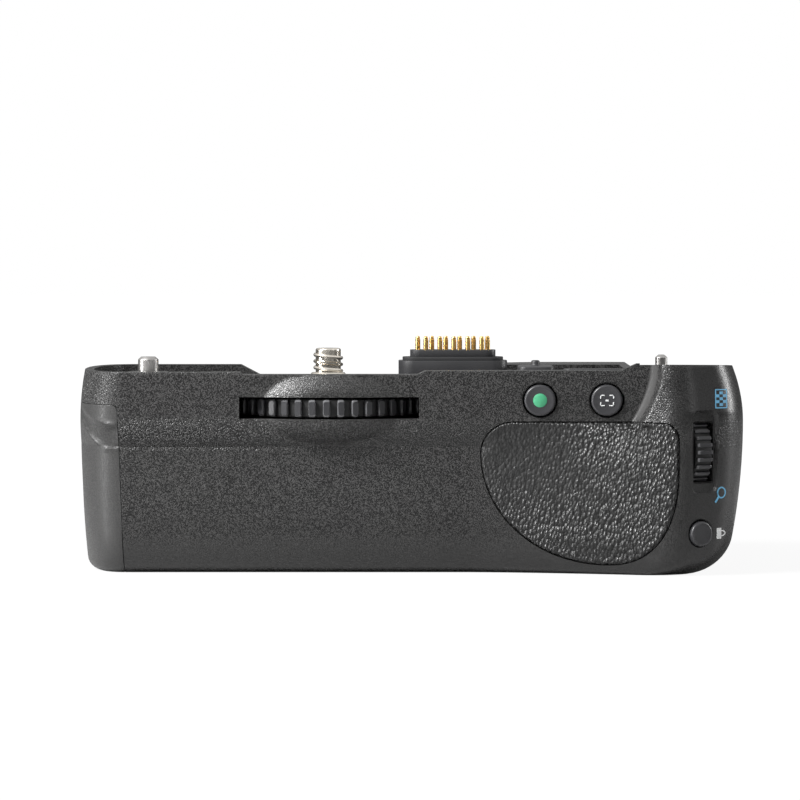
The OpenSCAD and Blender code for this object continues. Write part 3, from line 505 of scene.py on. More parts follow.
# %% Sizes of the form
left_reach = -span("tray_cap")[0][0]
right_reach = span("rear_cover")[1][0]
rim_z = span("rear_cover")[1][2]
seat_z = span("top_plate")[1][2] - 0.4
rear_reach, front_reach, grip_reach, thumb_reach = 16.5, 31.5, 45.0, 22.2
part_y = span("rear_cover")[1][1]
lip_x = right_reach - 20.8
left_round, shoulder_round = 10.0, 26.0
ledge_top_z, ledge_h, ledge_in = 29.6, 4.7, 2.0
rear_base_round, thumb_base_round, left_base_round = 8.0, 3.5, 2.2
right_base_round, front_base_round, base_share = 7.0, 5.0, 0.6
x_crest = right_reach - 12.3
facet_turn = math.radians(31)
facet_slope = math.tan(facet_turn)
facet_share, end_y, crest_round = 0.56, -6.0, 3.2
step_out, step_lean, step_w = 2.9, 4.0, 2.6
step_x = x_crest - 10.3
ramp_x = 27.0
grip_x, grip_rise, shoulder_y = 20.0, 24.0, 16.0
wheel_low, wheel_high = span("thumbwheel")
wheel_z = (wheel_low[2] + wheel_high[2]) / 2
bump_x, bump_w, bump_h, bump_out = 0.6, 13.6, 7.2, 2.4
x_left = -left_reach + left_round
x_shoulder = right_reach - shoulder_round
cap_l, seam_lean, cap_z, seam, cap_gap = 9.7, 1.2, 33.2, 0.2, 0.1
lip_fall = math.tan(math.radians(2.45))


def clamp01(t):
    return np.clip(t, 0, 1)


def ease(t):
    u = clamp01(t)
    return u * u * (3 - 2 * u)


def mix(a, b, t):
    return a + (b - a) * t


def fillet_in(z, r):
    return np.where(z >= r, 0, r - np.sqrt(np.maximum(0, r * r - (r - z) ** 2)))


def tuck(z, top, base):
    d = z - ledge_top_z
    return np.where(d > 0, top * (d / (rim_z - ledge_top_z)) ** 2, base * (d / ledge_top_z) ** 2)


print("casing", round(left_reach + right_reach, 1), "mm long, seat at", round(seat_z, 2), "mm")


# %% Rear wall
def left_end(z):
    return -left_reach + tuck(z, 1.3, 1.5) + fillet_in(z, left_base_round)


def right_end(z):
    return right_reach - tuck(z, 2.4, 3.6) - fillet_in(z, right_base_round)


def crest_x(z):
    return x_crest + (right_end(z) - right_reach) / 2


def step_at(z):
    return step_x + step_lean * (1 - (1 - clamp01((z - ledge_top_z) / (rim_z - ledge_top_z))) ** 1.8)


def lower_share(z):
    return clamp01((ledge_top_z - z) / ledge_h) ** 1.5


def ramp(x):
    return clamp01((x - ramp_x) / (x_crest - ramp_x)) ** 1.5


def swelling(x, z):
    """The eye-shaped rise round the wheel, with a crisp edge all round."""
    away = np.sqrt(((x - bump_x) / bump_w) ** 2 + ((z - wheel_z) / bump_h) ** 2)
    t = clamp01((1 - away) / 0.7)
    return bump_out * t * (2 - t)


def ledge_line(x, z):
    """A shallow groove under the ledge, so that the lower panel starts with a crisp lit edge."""
    t = (z - (ledge_top_z - ledge_h)) / 0.7
    groove = np.where((t > -0.25) & (t < 1), 1 - np.abs(t - 0.1) / 0.9, 0).clip(0)
    return 0.16 * groove * (1 - ease((x + 8) / 16))


def rear_line(x, z):
    rise = thumb_reach - rear_reach - step_out
    upper = -rear_reach - step_out * ease((x - step_at(z)) / step_w)
    upper = upper - rise * clamp01((x - step_at(z) - step_w / 2) / (x_crest - step_x - step_w))
    lower = mix(-rear_reach + ledge_in, -thumb_reach, ramp(x))
    wall = mix(upper, lower, lower_share(z)) - swelling(x, z) + ledge_line(x, z)
    return wall + base_share * fillet_in(z, mix(rear_base_round, thumb_base_round, ramp(x)))


def rear_surface(x, z):
    """Depth of the rear wall, over the rounded crest and onto the facet."""
    xc = crest_x(z)
    peak = rear_line(xc, z)
    t = (x - xc + crest_round) / (2 * crest_round)
    before = rear_line(xc - crest_round, z)
    after = peak + crest_round * facet_slope
    over = (1 - t) ** 2 * before + 2 * t * (1 - t) * peak + t * t * after
    facet = peak + (x - xc) * facet_slope
    return np.where(x < xc - crest_round, rear_line(x, z), np.where(x > xc + crest_round, facet, over))


def front_surface(x, z):
    wall = front_reach + ledge_in * lower_share(z)
    return mix(wall, grip_reach, ease((x - grip_x) / grip_rise)) - fillet_in(z, front_base_round)


print("rear wall at the wheel:", round(float(rear_surface(np.array(0.0), np.array(wheel_z))), 2), "mm")

# %% [markdown]
# The tray cap has a hollow for the finger: a leaf between two ridges that starts at the seam, as
# high as the ledge, and rises to the left end. It is pressed into the outline as a depth that
# stands a little proud on both ridges and fades out before the seam.


# %% Finger hollow and outlines
def seam_x(z):
    return -left_reach + cap_l - seam_lean * z / cap_z


def hollow(x, z):
    s = clamp01((-40.6 - x) / (left_reach - 40.6))
    low, high = 24.4 + 8.5 * s ** 3, 29.0 + 4.2 * s ** 2
    t = clamp01((z - low) / np.maximum(high - low, 0.1))
    ridges = np.exp(-((z - low) / 0.5) ** 2) + np.exp(-((z - high) / 0.55) ** 2)
    return (0.9 * np.sin(math.pi * t) ** 0.7 - 0.32 * ridges) * ease(s / 0.14)


def corner(x_mid, y_mid, ax, ay, angles, power):
    c, s = np.cos(angles), np.sin(angles)
    return np.stack([
        x_mid + ax * np.sign(c) * np.abs(c) ** power, y_mid + ay * np.sign(s) * np.abs(s) ** power], -1)


def run(*knots_and_counts):
    """Values from knot to knot, with the given count of steps in between."""
    knots, counts = knots_and_counts[::2], knots_and_counts[1::2]
    pieces = [np.linspace(a, b, n, endpoint=False) for a, b, n in zip(knots, knots[1:], counts)]
    return np.concatenate(pieces)


def outline(z):
    """One closed plan outline, with as many points at every height and no stretch running back."""
    xr, xc = float(right_end(z)), float(crest_x(z))
    step = float(step_at(z))
    x_facet = mix(xc, xr, facet_share)
    past = min(step + step_w + 0.6, xc - crest_round - 0.3)
    xs = run(x_left, 28, bump_x - bump_w - 0.6, 56, bump_x + bump_w + 0.6, 38, step - 0.6, 16,
             past, 6, xc - crest_round, 14, xc + crest_round, 6, x_facet)
    rear = np.stack([xs, rear_surface(xs, z)], -1)
    peak = float(rear_line(np.array(xc), z))
    a = np.array([x_facet, peak + (x_facet - xc) * facet_slope])
    b = np.array([xr, peak + (xr - xc) * facet_slope])
    c = np.array([xr, end_y])
    t = np.linspace(0, 1, 18, endpoint=False)[:, None]
    turned = (1 - t) ** 2 * a + 2 * t * (1 - t) * b + t * t * c
    side = np.stack([np.full(10, xr), np.linspace(end_y, shoulder_y, 10, endpoint=False)], -1)
    y_grip = float(front_surface(np.array(x_shoulder), z))
    shoulder = corner(x_shoulder, shoulder_y, xr - x_shoulder, y_grip - shoulder_y,
                      np.linspace(0, math.pi / 2, 30, endpoint=False), 0.85)
    xf = run(x_shoulder, 12, grip_x + grip_rise, 34, grip_x, 26, x_left)
    front = np.stack([xf, front_surface(xf, z)], -1)
    y0, y1 = (float(f(np.array(x_left), z)) for f in (rear_surface, front_surface))
    reach, half = x_left - float(left_end(z)), (y1 - y0) / 2
    # The last stretch of the left end has points on both sides of the seam.
    gap = [(x_left - seam_x(z) + d) / reach for d in (cap_gap * 0.6, cap_gap * 0.4)]
    stop = [1.5 * math.pi - math.asin(float(clamp01(g)) ** 1.25) for g in gap]
    angles = np.concatenate([
        np.linspace(0.5 * math.pi, math.pi, 20, endpoint=False),
        np.linspace(math.pi, stop[0], 34), np.linspace(stop[1], 1.5 * math.pi, 4, endpoint=False)])
    left = corner(x_left, (y0 + y1) / 2, reach, half, angles, 0.8)
    rearward = left[:, 1] < 0
    left[rearward, 1] += hollow(left[rearward, 0], z)
    return np.concatenate([rear, turned, side, shoulder, front, left])


levels = np.concatenate([
    rear_base_round * (1 - np.cos(np.radians(np.linspace(0, 90, 15)))),
    np.linspace(rear_base_round, 23.4, 12)[1:], np.linspace(23.4, ledge_top_z - ledge_h, 4)[1:],
    np.linspace(ledge_top_z - ledge_h, 33.0, 26)[1:], np.linspace(33.0, 38.5, 12)[1:],
    [40.3, rim_z + 1]])


def casing_form(name):
    """The whole closed form, before it is parted and hollowed."""
    rings = [np.column_stack([p, np.full(len(p), z)]) for z in levels for p in [outline(z)]]
    n, m = len(rings[0]), len(rings)
    hubs = [[[x_shoulder / 2, part_y, z]] for z in (0, rim_z + 1)]
    points = np.concatenate(rings + hubs)
    faces = []
    for j in range(m - 1):
        for k in range(n):
            q = (k + 1) % n
            faces.append((j * n + k, j * n + q, (j + 1) * n + q, (j + 1) * n + k))
    for k in range(n):
        q = (k + 1) % n
        faces.append((n * m, q, k))
        faces.append((n * m + 1, (m - 1) * n + k, (m - 1) * n + q))
    made = new_object(name, points, faces)
    outward(made)
    return made


print("outline points:", len(outline(10.0)), "levels:", len(levels))

# %% [markdown]
# ## Parting and hollowing
# Cutters take away what the mould leaves open: the seam planes, the battery bay, the wheel slot, the
# button holes and the pockets of the pads. The Exact solver takes a whole collection of cutters at
# once. Afterwards the sharp edges that the eye meets are rounded with a narrow bevel.


# %% Cutters
def block(x0, x1, y0, y1, z0, z1):
    points = [(x, y, z) for x in (x0, x1) for y in (y0, y1) for z in (z0, z1)]
    faces = [(0, 1, 3, 2), (4, 6, 7, 5), (0, 4, 5, 1), (2, 3, 7, 6), (0, 2, 6, 4), (1, 5, 7, 3)]
    made = new_object("cutter", points, faces)
    outward(made)
    return made


def prism(outline_2d, axis, low, high):
    """A straight prism over a flat outline. The outline's two numbers are the other two axes."""
    order = {"x": (2, 0, 1), "y": (0, 2, 1), "z": (0, 1, 2)}[axis]
    points = []
    for end in (low, high):
        for a, b in outline_2d:
            flat = (a, b, end)
            points.append(tuple(flat[i] for i in order))
    n = len(outline_2d)
    faces = [tuple(range(n))[::-1], tuple(range(n, 2 * n))]
    faces += [(k, (k + 1) % n, n + (k + 1) % n, n + k) for k in range(n)]
    made = new_object("cutter", points, faces)
    outward(made)
    return made


def drill(r, z0, z1, sides=64, place=None):
    """Cutter for a round hole about Z, or about the Z axis of a place."""
    return spun("cutter", [(0, z0), (r, z0), (r, z1), (0, z1)], sides, place)


def carve(piece, cutters, operation="DIFFERENCE"):
    """Cuts a piece with all cutters at once, and throws the cutters away."""
    group = bpy.data.collections.new("cutters")
    for cutter in cutters:
        group.objects.link(cutter)
    knife = piece.modifiers.new("carve", "BOOLEAN")
    knife.operation, knife.solver = operation, "EXACT"
    knife.operand_type, knife.collection = "COLLECTION", group
    bake(piece)
    for cutter in cutters:
        bpy.data.objects.remove(cutter)
    bpy.data.collections.remove(group)
    outward(piece)
    return piece


def round_edges(piece, chosen, width_mm, segments=2, angle=35):
    """Bevels the sharp edges whose middle, in millimetres, is chosen."""
    bm = bmesh.new()
    bm.from_mesh(piece.data)
    picked = [
        e for e in bm.edges
        if len(e.link_faces) == 2 and e.calc_face_angle(0) > math.radians(angle)
        and chosen(*((e.verts[0].co + e.verts[1].co) / 2 / MM))]
    bmesh.ops.bevel(
        bm, geom=picked, offset=width_mm * MM, offset_type="OFFSET", segments=segments, profile=0.5,
        affect="EDGES", clamp_overlap=False)
    bm.to_mesh(piece.data)
    bm.free()
    return len(picked)


# Cutters reach far past the casing, each to another distance, so that no two share an end plane.
big, far = 200, 230
cap_corner = 1.2


def cap_outline(gap):
    """Everything left of the seam and below the top of the tray cap, seen from the back."""
    top = cap_z - gap
    x_top = float(seam_x(cap_z)) - gap
    arc = rounding(x_top - cap_corner, top - cap_corner, cap_corner, 0, 90, 6)
    return [(-big, -10), (float(seam_x(-10)) - gap, -10), *arc, (-big, top)]


deck_z = span("contact_base")[1][2] - 3.9
chamber_low, chamber_high = span("battery_chamber")
plate_low, plate_high = span("base_plate")
deck_low, deck_high = span("top_plate")
plate_t, plate_y0 = 2.4, -5.0
boss_r = 6.65
bay_x0, bay_z0 = chamber_high[0] + 2, chamber_low[2] + 2.8
channel_x0, channel_x1, channel_z, channel_slant = -16.9, 17.6, seat_z - 0.45, 1.9
left_rim, pin_boss = 1.8, 4.0


def left_recess():
    """Cutter for the recess in the top of the left end: inside a thin rim, round the pin's boss."""
    y0, y1 = -rear_reach + left_rim, deck_high[1] + 0.04
    reach = x_left - float(left_end(seat_z)) - left_rim
    angles = np.radians(np.linspace(90, 270, 41))
    end = corner(x_left, (y0 + y1) / 2, reach, (y1 - y0) / 2, angles, 0.8)
    edge = [(deck_low[0] + 1, y1), *map(tuple, end), (deck_low[0] + 1, y0)]
    low, high = span("left_pin")
    stand = Matrix.Translation(((low[0] + high[0]) / 2, (low[1] + high[1]) / 2, 0))
    boss = drill(pin_boss, 30, seat_z - 0.01, 64, stand)
    return carve(prism(edge, "z", deck_z, big - 15), [boss])


def volume(piece):
    """Volume in cubic millimetres, to see that a cut went well."""
    bm = bmesh.new()
    bm.from_mesh(piece.data)
    size = bm.calc_volume(signed=True) / MM ** 3
    bm.free()
    return round(size)


def inner_cutters():
    """What is open in both covers: tray cap, battery bay, wheel room, board bay and base plate."""
    hub = np.array([lip_x - 3, part_y])
    edge = np.array([p for p in outline(rim_z) if p[0] > lip_x + 2.4])
    inside = edge + 2.2 * (hub - edge) / np.linalg.norm(hub - edge, axis=1)[:, None]
    lip = [(lip_x - 2, inside[0][1]), *map(tuple, inside), (lip_x - 2, inside[-1][1])]
    fall = [
        (-thumb_reach - 5, rim_z), (-thumb_reach, rim_z), (60, rim_z - lip_fall * (60 + thumb_reach)),
        (60, 60), (-thumb_reach - 5, 60)]
    return [
        left_recess(), prism(fall, "x", lip_x, big - 12),
        prism(cap_outline(0), "y", -big + 9, big - 9), prism(lip, "z", seat_z, big - 6),
        block(-left_reach - 1, chamber_high[0], chamber_low[1], chamber_high[1],
              chamber_low[2], chamber_high[2]),
        block(deck_low[0], deck_high[0], deck_low[1], deck_high[1], chamber_high[2] - 0.01, big),
        block(bay_x0, deck_high[0], deck_low[1] + 3, deck_high[1] - 3, bay_z0, chamber_high[2] + 1),
        block(plate_low[0], plate_high[0], plate_y0, plate_high[1], -1, plate_t),
        drill(boss_r, -1, 7)]


print("deck at", round(deck_z, 2), "mm, chamber", np.round(chamber_high - chamber_low, 1))

# %% [markdown]
# The controls on the facet share one frame: its Z axis points straight out of the facet. The dial
# sits in a frame with sloping ends, and each button hole has a small rounded lip.

# %% Places of the controls
facet_out = Vector((math.sin(facet_turn), -math.cos(facet_turn), 0))
facet_along = Vector((math.cos(facet_turn), math.sin(facet_turn), 0))
dial_axis = (np.array(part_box("rear_dial")[0]) + np.array(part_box("rear_dial")[1])) / 2 / MM
dial_r = (span("rear_dial")[1][2] - span("rear_dial")[0][2]) / 2
dial_w, dial_room, dial_room_half = 3.8, 0.6, 2.2
facet_spin = Matrix((facet_along, (0, 0, 1), facet_out)).transposed().to_4x4()
lock_r, button_r, button_out, button_gap = 2.45, 3.05, 0.8, 0.25
lock_z = (span("lock_button")[0][2] + span("lock_button")[1][2]) / 2


def facet_place(z, along):
    """Point on the facet at a height, so far along it from the crest."""
    xc = float(crest_x(z))
    return Vector((xc, float(rear_line(np.array(xc), z)), z)) + facet_along * along


dial_skin = Vector(dial_axis) + facet_out * (dial_r - 0.3)
lock_skin = facet_place(lock_z, (dial_skin - facet_place(float(dial_axis[2]), 0)).dot(facet_along))


def on_facet(place):
    """Frame whose X runs along the facet to the right, Y up and Z out of the facet."""
    return Matrix.Translation(place) @ facet_spin


dial_window = on_facet(dial_skin)
lock_place = facing(lock_skin, facet_out)


def hole(r, depth, lip=0.3):
    """Profile of a cutter for a round hole with a rounded lip at Z = 0."""
    return [(0, -depth), (r, -depth), *rounding(r + lip, -lip, lip, 180, 90), (r + lip, 4), (0, 4)]


def rounded_rect(w, h, r, count=5):
    """Outline of a rectangle with round corners, round its middle."""
    corners = [(1, 1, 0), (-1, 1, 90), (-1, -1, 180), (1, -1, 270)]
    mid_x, mid_y = w / 2 - r, h / 2 - r
    return [p for sx, sy, a in corners for p in rounding(sx * mid_x, sy * mid_y, r, a, a + 90, count)]


def tapered(bottom, top, z0, z1, place):
    """Cutter between two outlines with the same number of points."""
    n = len(bottom)
    points = [(x, y, z0) for x, y in bottom] + [(x, y, z1) for x, y in top]
    faces = [tuple(range(n))[::-1], tuple(range(n, 2 * n))]
    faces += [(k, (k + 1) % n, n + (k + 1) % n, n + k) for k in range(n)]
    made = new_object("cutter", turn(points, place), faces)
    outward(made)
    return made


buttons = {n: (span(n)[0] + span(n)[1]) / 2 for n in ("green_button", "focus_button")}
button_z = wheel_z + 1.5


def facing_back(x, reach):
    """Place at the height of the buttons, so far behind the shaft, with Z pointing to the back."""
    return facing((x, -reach, button_z), (0, -1, 0))


print("dial at", np.round(dial_axis, 2), "buttons at", [round(float(p[0]), 1) for p in buttons.values()])

# %% [markdown]
# ## Skins laid on the wall
# The thumb rest and the hand pad are moulded skins glued into shallow pockets. Rings shrink from the
# outline to its middle, and every point takes its depth from the wall, so the skin follows the form.
# The same rings, thicker and smoother, make the cutter for the pocket.

# %% Ringed skins
pad_t = 1.4
pad_low_corner, pad_high_corner = span("thumb_pad")
pad_left, pad_right = pad_low_corner[0] - seam, pad_high_corner[0] + seam
pad_low = pad_low_corner[2] - seam
pad_top = ledge_top_z + 0.3


def arc(x, z, ax, az, start, end, count, power=1.0):
    """Part of a rounded corner round (x, z), from one angle to another in degrees."""
    return corner(x, z, ax, az, np.radians(np.linspace(start, end, count, endpoint=False)), power)


def thumb_outline(grow, fine=1):
    """The thumb rest seen from the back: low and long at the left, tall at the right."""
    turn_x, left_z, right_z = mix(pad_left, pad_right, 0.634), pad_top - 6.2, pad_top - 9
    right_r, left_r = 3.4, 6.4
    top = np.linspace(pad_right - right_r, pad_left + left_r, 30 * fine, endpoint=False)[1:]
    return np.concatenate([
        arc(pad_right - right_r, pad_top - right_r, right_r + grow, right_r + grow, 0, 90, 10 * fine),
        np.stack([top, np.full(len(top), pad_top + grow)], -1),
        arc(pad_left + left_r, left_z, left_r + grow, pad_top - left_z + grow, 90, 180, 12 * fine),
        arc(turn_x, left_z, turn_x - pad_left + grow, left_z - pad_low + grow, 180, 270, 36 * fine),
        arc(turn_x, right_z, pad_right - turn_x + grow, right_z - pad_low + grow,
            270, 360, 28 * fine, 0.85),
        [[pad_right + grow, pad_top - 7]]])


def hand_outline(grow, fine=1):
    """The hand pad seen from the front, with its straight sides cut into short steps."""
    low, high = span("grip_pad")
    w, h = high[0] - low[0] + 2 * (seam + grow), high[2] - low[2] + 2 * (seam + grow)
    middle = np.array([(low[0] + high[0]) / 2, (low[2] + high[2]) / 2])
    corners = np.array(rounded_rect(w, h, 5, 8 * fine)) + middle
    out = []
    for a, b in zip(corners, np.roll(corners, -1, 0)):
        steps = max(1, int(np.linalg.norm(b - a) * fine / 1.2))
        out += [a + (b - a) * k / steps for k in range(steps)]
    return np.array(out)


def skin(name, edge, shares, front, back):
    """Closed skin: front(x, z, inward) and back(x, z) give the two depths over the same rings."""
    hub = edge.mean(0)
    n, m = len(edge), len(shares)
    reach = np.linalg.norm(edge - hub, axis=1)
    flat = np.concatenate([[hub]] + [hub + s * (edge - hub) for s in shares])
    inward = np.concatenate([[reach.min()]] + [(1 - s) * reach for s in shares])
    depths = front(flat[:, 0], flat[:, 1], inward), back(flat[:, 0], flat[:, 1])
    points = np.concatenate([np.column_stack([flat[:, 0], y, flat[:, 1]]) for y in depths])
    half = 1 + n * m
    faces = []
    for k in range(n):
        q = (k + 1) % n
        faces += [(0, 1 + k, 1 + q), (half, half + 1 + q, half + 1 + k)]
        for j in range(m - 1):
            a, b = 1 + j * n, 1 + (j + 1) * n
            faces.append((a + k, b + k, b + q, a + q))
            faces.append((half + a + k, half + a + q, half + b + q, half + b + k))
        last = 1 + (m - 1) * n
        faces.append((last + k, half + last + k, half + last + q, last + q))
    made = new_object(name, points, faces)
    outward(made)
    return made


def pocket(edge, surface, side):
    """Cutter for a pocket of the skin's thickness. side is -1 on the rear wall and 1 on the front."""
    return skin("cutter", edge, np.linspace(0.125, 1, 8),
                lambda x, z, d: surface(x, z) + side * 3, lambda x, z: surface(x, z) - side * pad_t)


print("thumb outline points:", len(thumb_outline(0)), "hand outline points:", len(hand_outline(0)))

# %% [markdown]
# ## The two covers
# The rear cover carries the wheel slot, two buttons and the slanted facet; the front cover carries
# the hand grip. Both come from the same form, parted at the mould line, so their outsides meet.

# %% Rear cover
rim_step = 0.35
slot_half, slot_gap, slot_shift = 17.5, 0.3, 0.4
cavity_y0, cavity_y1 = deck_low[1], deck_high[1]


def rim_cutter(channel, y0, y1):
    """What is cut away above the rim. The rim rises to the lip on a slant at the right end."""
    return prism([
        (-big, seat_z), (channel_x0, seat_z), (channel_x0 + 0.4, channel), (channel_x1, channel),
        (channel_x1 + 1.4, seat_z + 0.25), (lip_x - 4.0, seat_z + rim_step),
        (lip_x - 3.4, seat_z + rim_step + 0.1), (lip_x - 0.6, rim_z), (big, rim_z), (big, big),
        (-big, big)], "y", y0, y1)


rear_cover = casing_form("rear_cover_skin")
cutters = inner_cutters() + [
    block(-far, far, part_y, far, -far, far), rim_cutter(channel_z, -big - 10, big + 10),
    block(lip_x - 8, lip_x + 0.03, cavity_y0 - 0.7, 90, seat_z + 0.02, 110),
    block(slot_shift - slot_half, slot_shift + slot_half, -big, cavity_y0 + 1,
          wheel_low[2] - slot_gap, wheel_high[2] + slot_gap),
    spun("cutter", hole(lock_r + button_gap, 8), 48, lock_place),
    tapered(rounded_rect(5.2, 15.2, 1.2), rounded_rect(6.6, 17.2, 1.9), -0.75, 0.35, dial_window),
    tapered(rounded_rect(4.6, 7.6, 0.4), rounded_rect(4.6, 13.4, 0.4), -3.4, 0.0, dial_window),
    drill(dial_r + dial_room, -dial_room_half, dial_room_half, 96, facing(dial_axis, facet_along)),
    pocket(thumb_outline(0), rear_surface, -1)]
for place in buttons.values():
    round_hole = hole(button_r + button_gap, 3.4)
    cutters.append(spun("cutter", round_hole, 64, facing_back(place[0], rear_reach)))
for low, high in (span("left_pin"), span("right_pin")):
    x, y, r = (low[0] + high[0]) / 2, (low[1] + high[1]) / 2, (high[0] - low[0]) / 2
    cutters.append(drill(r, seat_z - 6, 60, 32, Matrix.Translation((x, y, 0))))
carve(rear_cover, cutters)


def outer_rim(x, y, z):
    """Edges of the rim and of the lip that face the back."""
    at_back = y < float(rear_surface(np.array(x), z)) + 0.3
    return z > channel_z - 0.02 and at_back and not 60 < x < 67.5


rounded_count = round_edges(rear_cover, outer_rim, 0.22)
dress(rear_cover, casing_finish, "rear_cover")
print("rear cover:", volume(rear_cover), "mm3, rim edges rounded:", rounded_count)

# %% Front cover
shutter_turn = math.radians(40)
shutter_out = Vector((math.cos(shutter_turn), math.sin(shutter_turn), 0))
shutter_place = facing((75.43, 36.947, float(dial_axis[2])), shutter_out)
shutter_r, shutter_proud, ring_r, spot_in = 5.0, 2.2, 8.4, 2.2
front_dial_low, front_dial_high = span("front_dial")
front_dial_mid = (front_dial_low + front_dial_high) / 2

front_channel = [
    (channel_x0 + 3, deck_z), (channel_x1, deck_z), (channel_x1, seat_z + 1),
    (channel_x0 + 3 - channel_slant * (seat_z + 1 - deck_z), seat_z + 1)]
front_cover = casing_form("front_cover_skin")
cutters = inner_cutters() + [
    block(-far, far, -far, part_y, -far, far), block(-big - 8, lip_x, -big - 8, big + 8, seat_z, big + 8),
    block(-big - 5, big + 5, -big - 5, big + 5, rim_z, big + 5),
    prism(front_channel, "y", cavity_y1 - 1, big - 4),
    drill(dial_r + dial_room, -dial_room_half, dial_room_half, 96, facing(front_dial_mid, (1, 0, 0))),
    drill(ring_r + 0.3, -spot_in, 20, 96, shutter_place),
    drill(shutter_r + 0.25, -8, 20, 64, shutter_place),
    pocket(hand_outline(0), front_surface, 1)]
carve(front_cover, cutters)
dress(front_cover, casing_finish, "front_cover")
print("front cover:", volume(front_cover), "mm3")

# %% [markdown]
# ## The tray cap
# The left end of the casing is the end cap of the battery tray. It is cut from the same form along
# a seam that leans a little, so it lies flush when the tray is shut. A round pocket takes the knob.

# %% Tray cap
knob_low, knob_high = span("lock_knob")
knob_r = (knob_high[2] - knob_low[2]) / 2
knob_mid = (knob_low + knob_high) / 2
tray_cap = casing_form("tray_cap_skin")
carve(tray_cap, [prism(cap_outline(cap_gap), "y", -big, big)], "INTERSECT")
knob_seat = facing((knob_high[0] + 0.2, knob_mid[1], knob_mid[2]), (-1, 0, 0))
knob_gap, shaft_hole_r = 0.3, 2.7
carve(tray_cap, [
    drill(knob_r + knob_gap, 0, 40, 96, knob_seat), drill(shaft_hole_r, -30, 1, 48, knob_seat)])


def at_seam(x, y, z):
    """Edges of the cap along the seam and along its top."""
    return min(abs(x - float(seam_x(z)) + cap_gap), abs(z - cap_z + cap_gap)) < 0.02


seam_count = round_edges(tray_cap, at_seam, 0.1)
dress(tray_cap, cap_finish, "tray_cap")
print("tray cap:", volume(tray_cap), "mm3, seam edges rounded:", seam_count)

# %% [markdown]
# ## Leathered skins
# The coarse grain is real relief: rounded cells, longer along a slant than across it, with creases
# between them. It fades at the rolled edge, where the skin dips into its groove. The fine grain is
# in the finish.


# %% Thumb rest and hand pad
def leather(x, z):
    """Relief of the grain in millimetres at each point."""
    a, cell_long, cell_wide = math.radians(35), 1.2, 0.7
    along = (x * math.cos(a) + z * math.sin(a)) / cell_long
    across = (z * math.cos(a) - x * math.sin(a)) / cell_wide
    relief = np.empty(len(x))
    for k, (u, v) in enumerate(zip(along, across)):
        near = noise.voronoi((u, v, 0.5))[0]
        relief[k] = 0.1 * min(near[1] - near[0], 0.5) + 0.03 * noise.noise((u * 0.8, v * 0.8, 3.0))
    return relief


def leather_skin(name, edge, surface, side, node, rings):
    shares = 1 - (1 - np.linspace(0, 1, rings + 1)[1:]) ** 1.15

    def front(x, z, inward):
        # Away from its edge the pad bridges the ledge below it.
        slack = 3 * clamp01((65 - x) / 3)
        near = [(dx, dz) for dx in (-1, 0, 1) for dz in (-3.6, -2.2, -0.8, 0.8, 2.2, 3.6)]
        bridged = np.mean([surface(x + dx * slack, z + dz) for dx, dz in near], axis=0)
        skin_y = mix(surface(x, z), bridged, ease(inward / 2.5))
        roll = 0.4 * (1 - np.minimum(inward / 0.7, 1)) ** 2
        return skin_y + side * (0.06 - roll + leather(x, z) * np.minimum(inward / 0.6, 1))

    made = skin(name, edge, shares, front, lambda x, z: surface(x, z) - side * (pad_t - 0.05))
    dress(made, rubber_finish, node, angle=50)
    return made


thumb_rest = leather_skin("thumb_rest", thumb_outline(-0.1, 4), rear_surface, -1, "thumb_pad", 96)
hand_pad = leather_skin("hand_pad", hand_outline(-0.1, 4), front_surface, 1, "grip_pad", 64)
print("leather points:", len(thumb_rest.data.vertices), len(hand_pad.data.vertices))

# %% [markdown]
# ## Repeating ribs
# The fastening wheel and both dials are edged with the same kind of rib. Geometry Nodes make one
# rib and set copies of it round a circle, so the count and size stay plain numbers. The result is
# baked to a mesh and turned into place.


# %% A ring of ribs
class Growth(Tree):
    """A geometry tree with named inputs, run once on an empty piece and baked."""

    def __init__(self, name, **inputs):
        super().__init__(bpy.data.node_groups.new(name, "GeometryNodeTree"))
        kinds = {
            int: "NodeSocketInt", float: "NodeSocketFloat", bpy.types.Material: "NodeSocketMaterial",
            bpy.types.Object: "NodeSocketObject"}
        self.values = {}
        for label, value in inputs.items():
            kind = next(k for t, k in kinds.items() if isinstance(value, t))
            made = self.tree.interface.new_socket(label, in_out="INPUT", socket_type=kind)
            self.values[made.identifier] = value
        self.tree.interface.new_socket("Geometry", in_out="OUTPUT", socket_type="NodeSocketGeometry")
        self.entry = self.tree.nodes.new("NodeGroupInput")
        self.exit = self.tree.nodes.new("NodeGroupOutput")

    def given(self, label):
        return Reading(self, self.entry.outputs[label])

    def grow(self, name, geometry, material):
        solid = self.node("GeometryNodeRealizeInstances", {}, {"Geometry": geometry})
        dressed = self.node("GeometryNodeSetMaterial", {}, {"Geometry": solid, "Material": material})
        self.join(dressed, self.exit.inputs[0])
        piece = new_object(name, [(0, 0, 0)], [])
        growing = piece.modifiers.new("growth", "NODES")
        growing.node_group = self.tree
        for identifier, value in self.values.items():
            growing[identifier] = value
        return bake(piece)


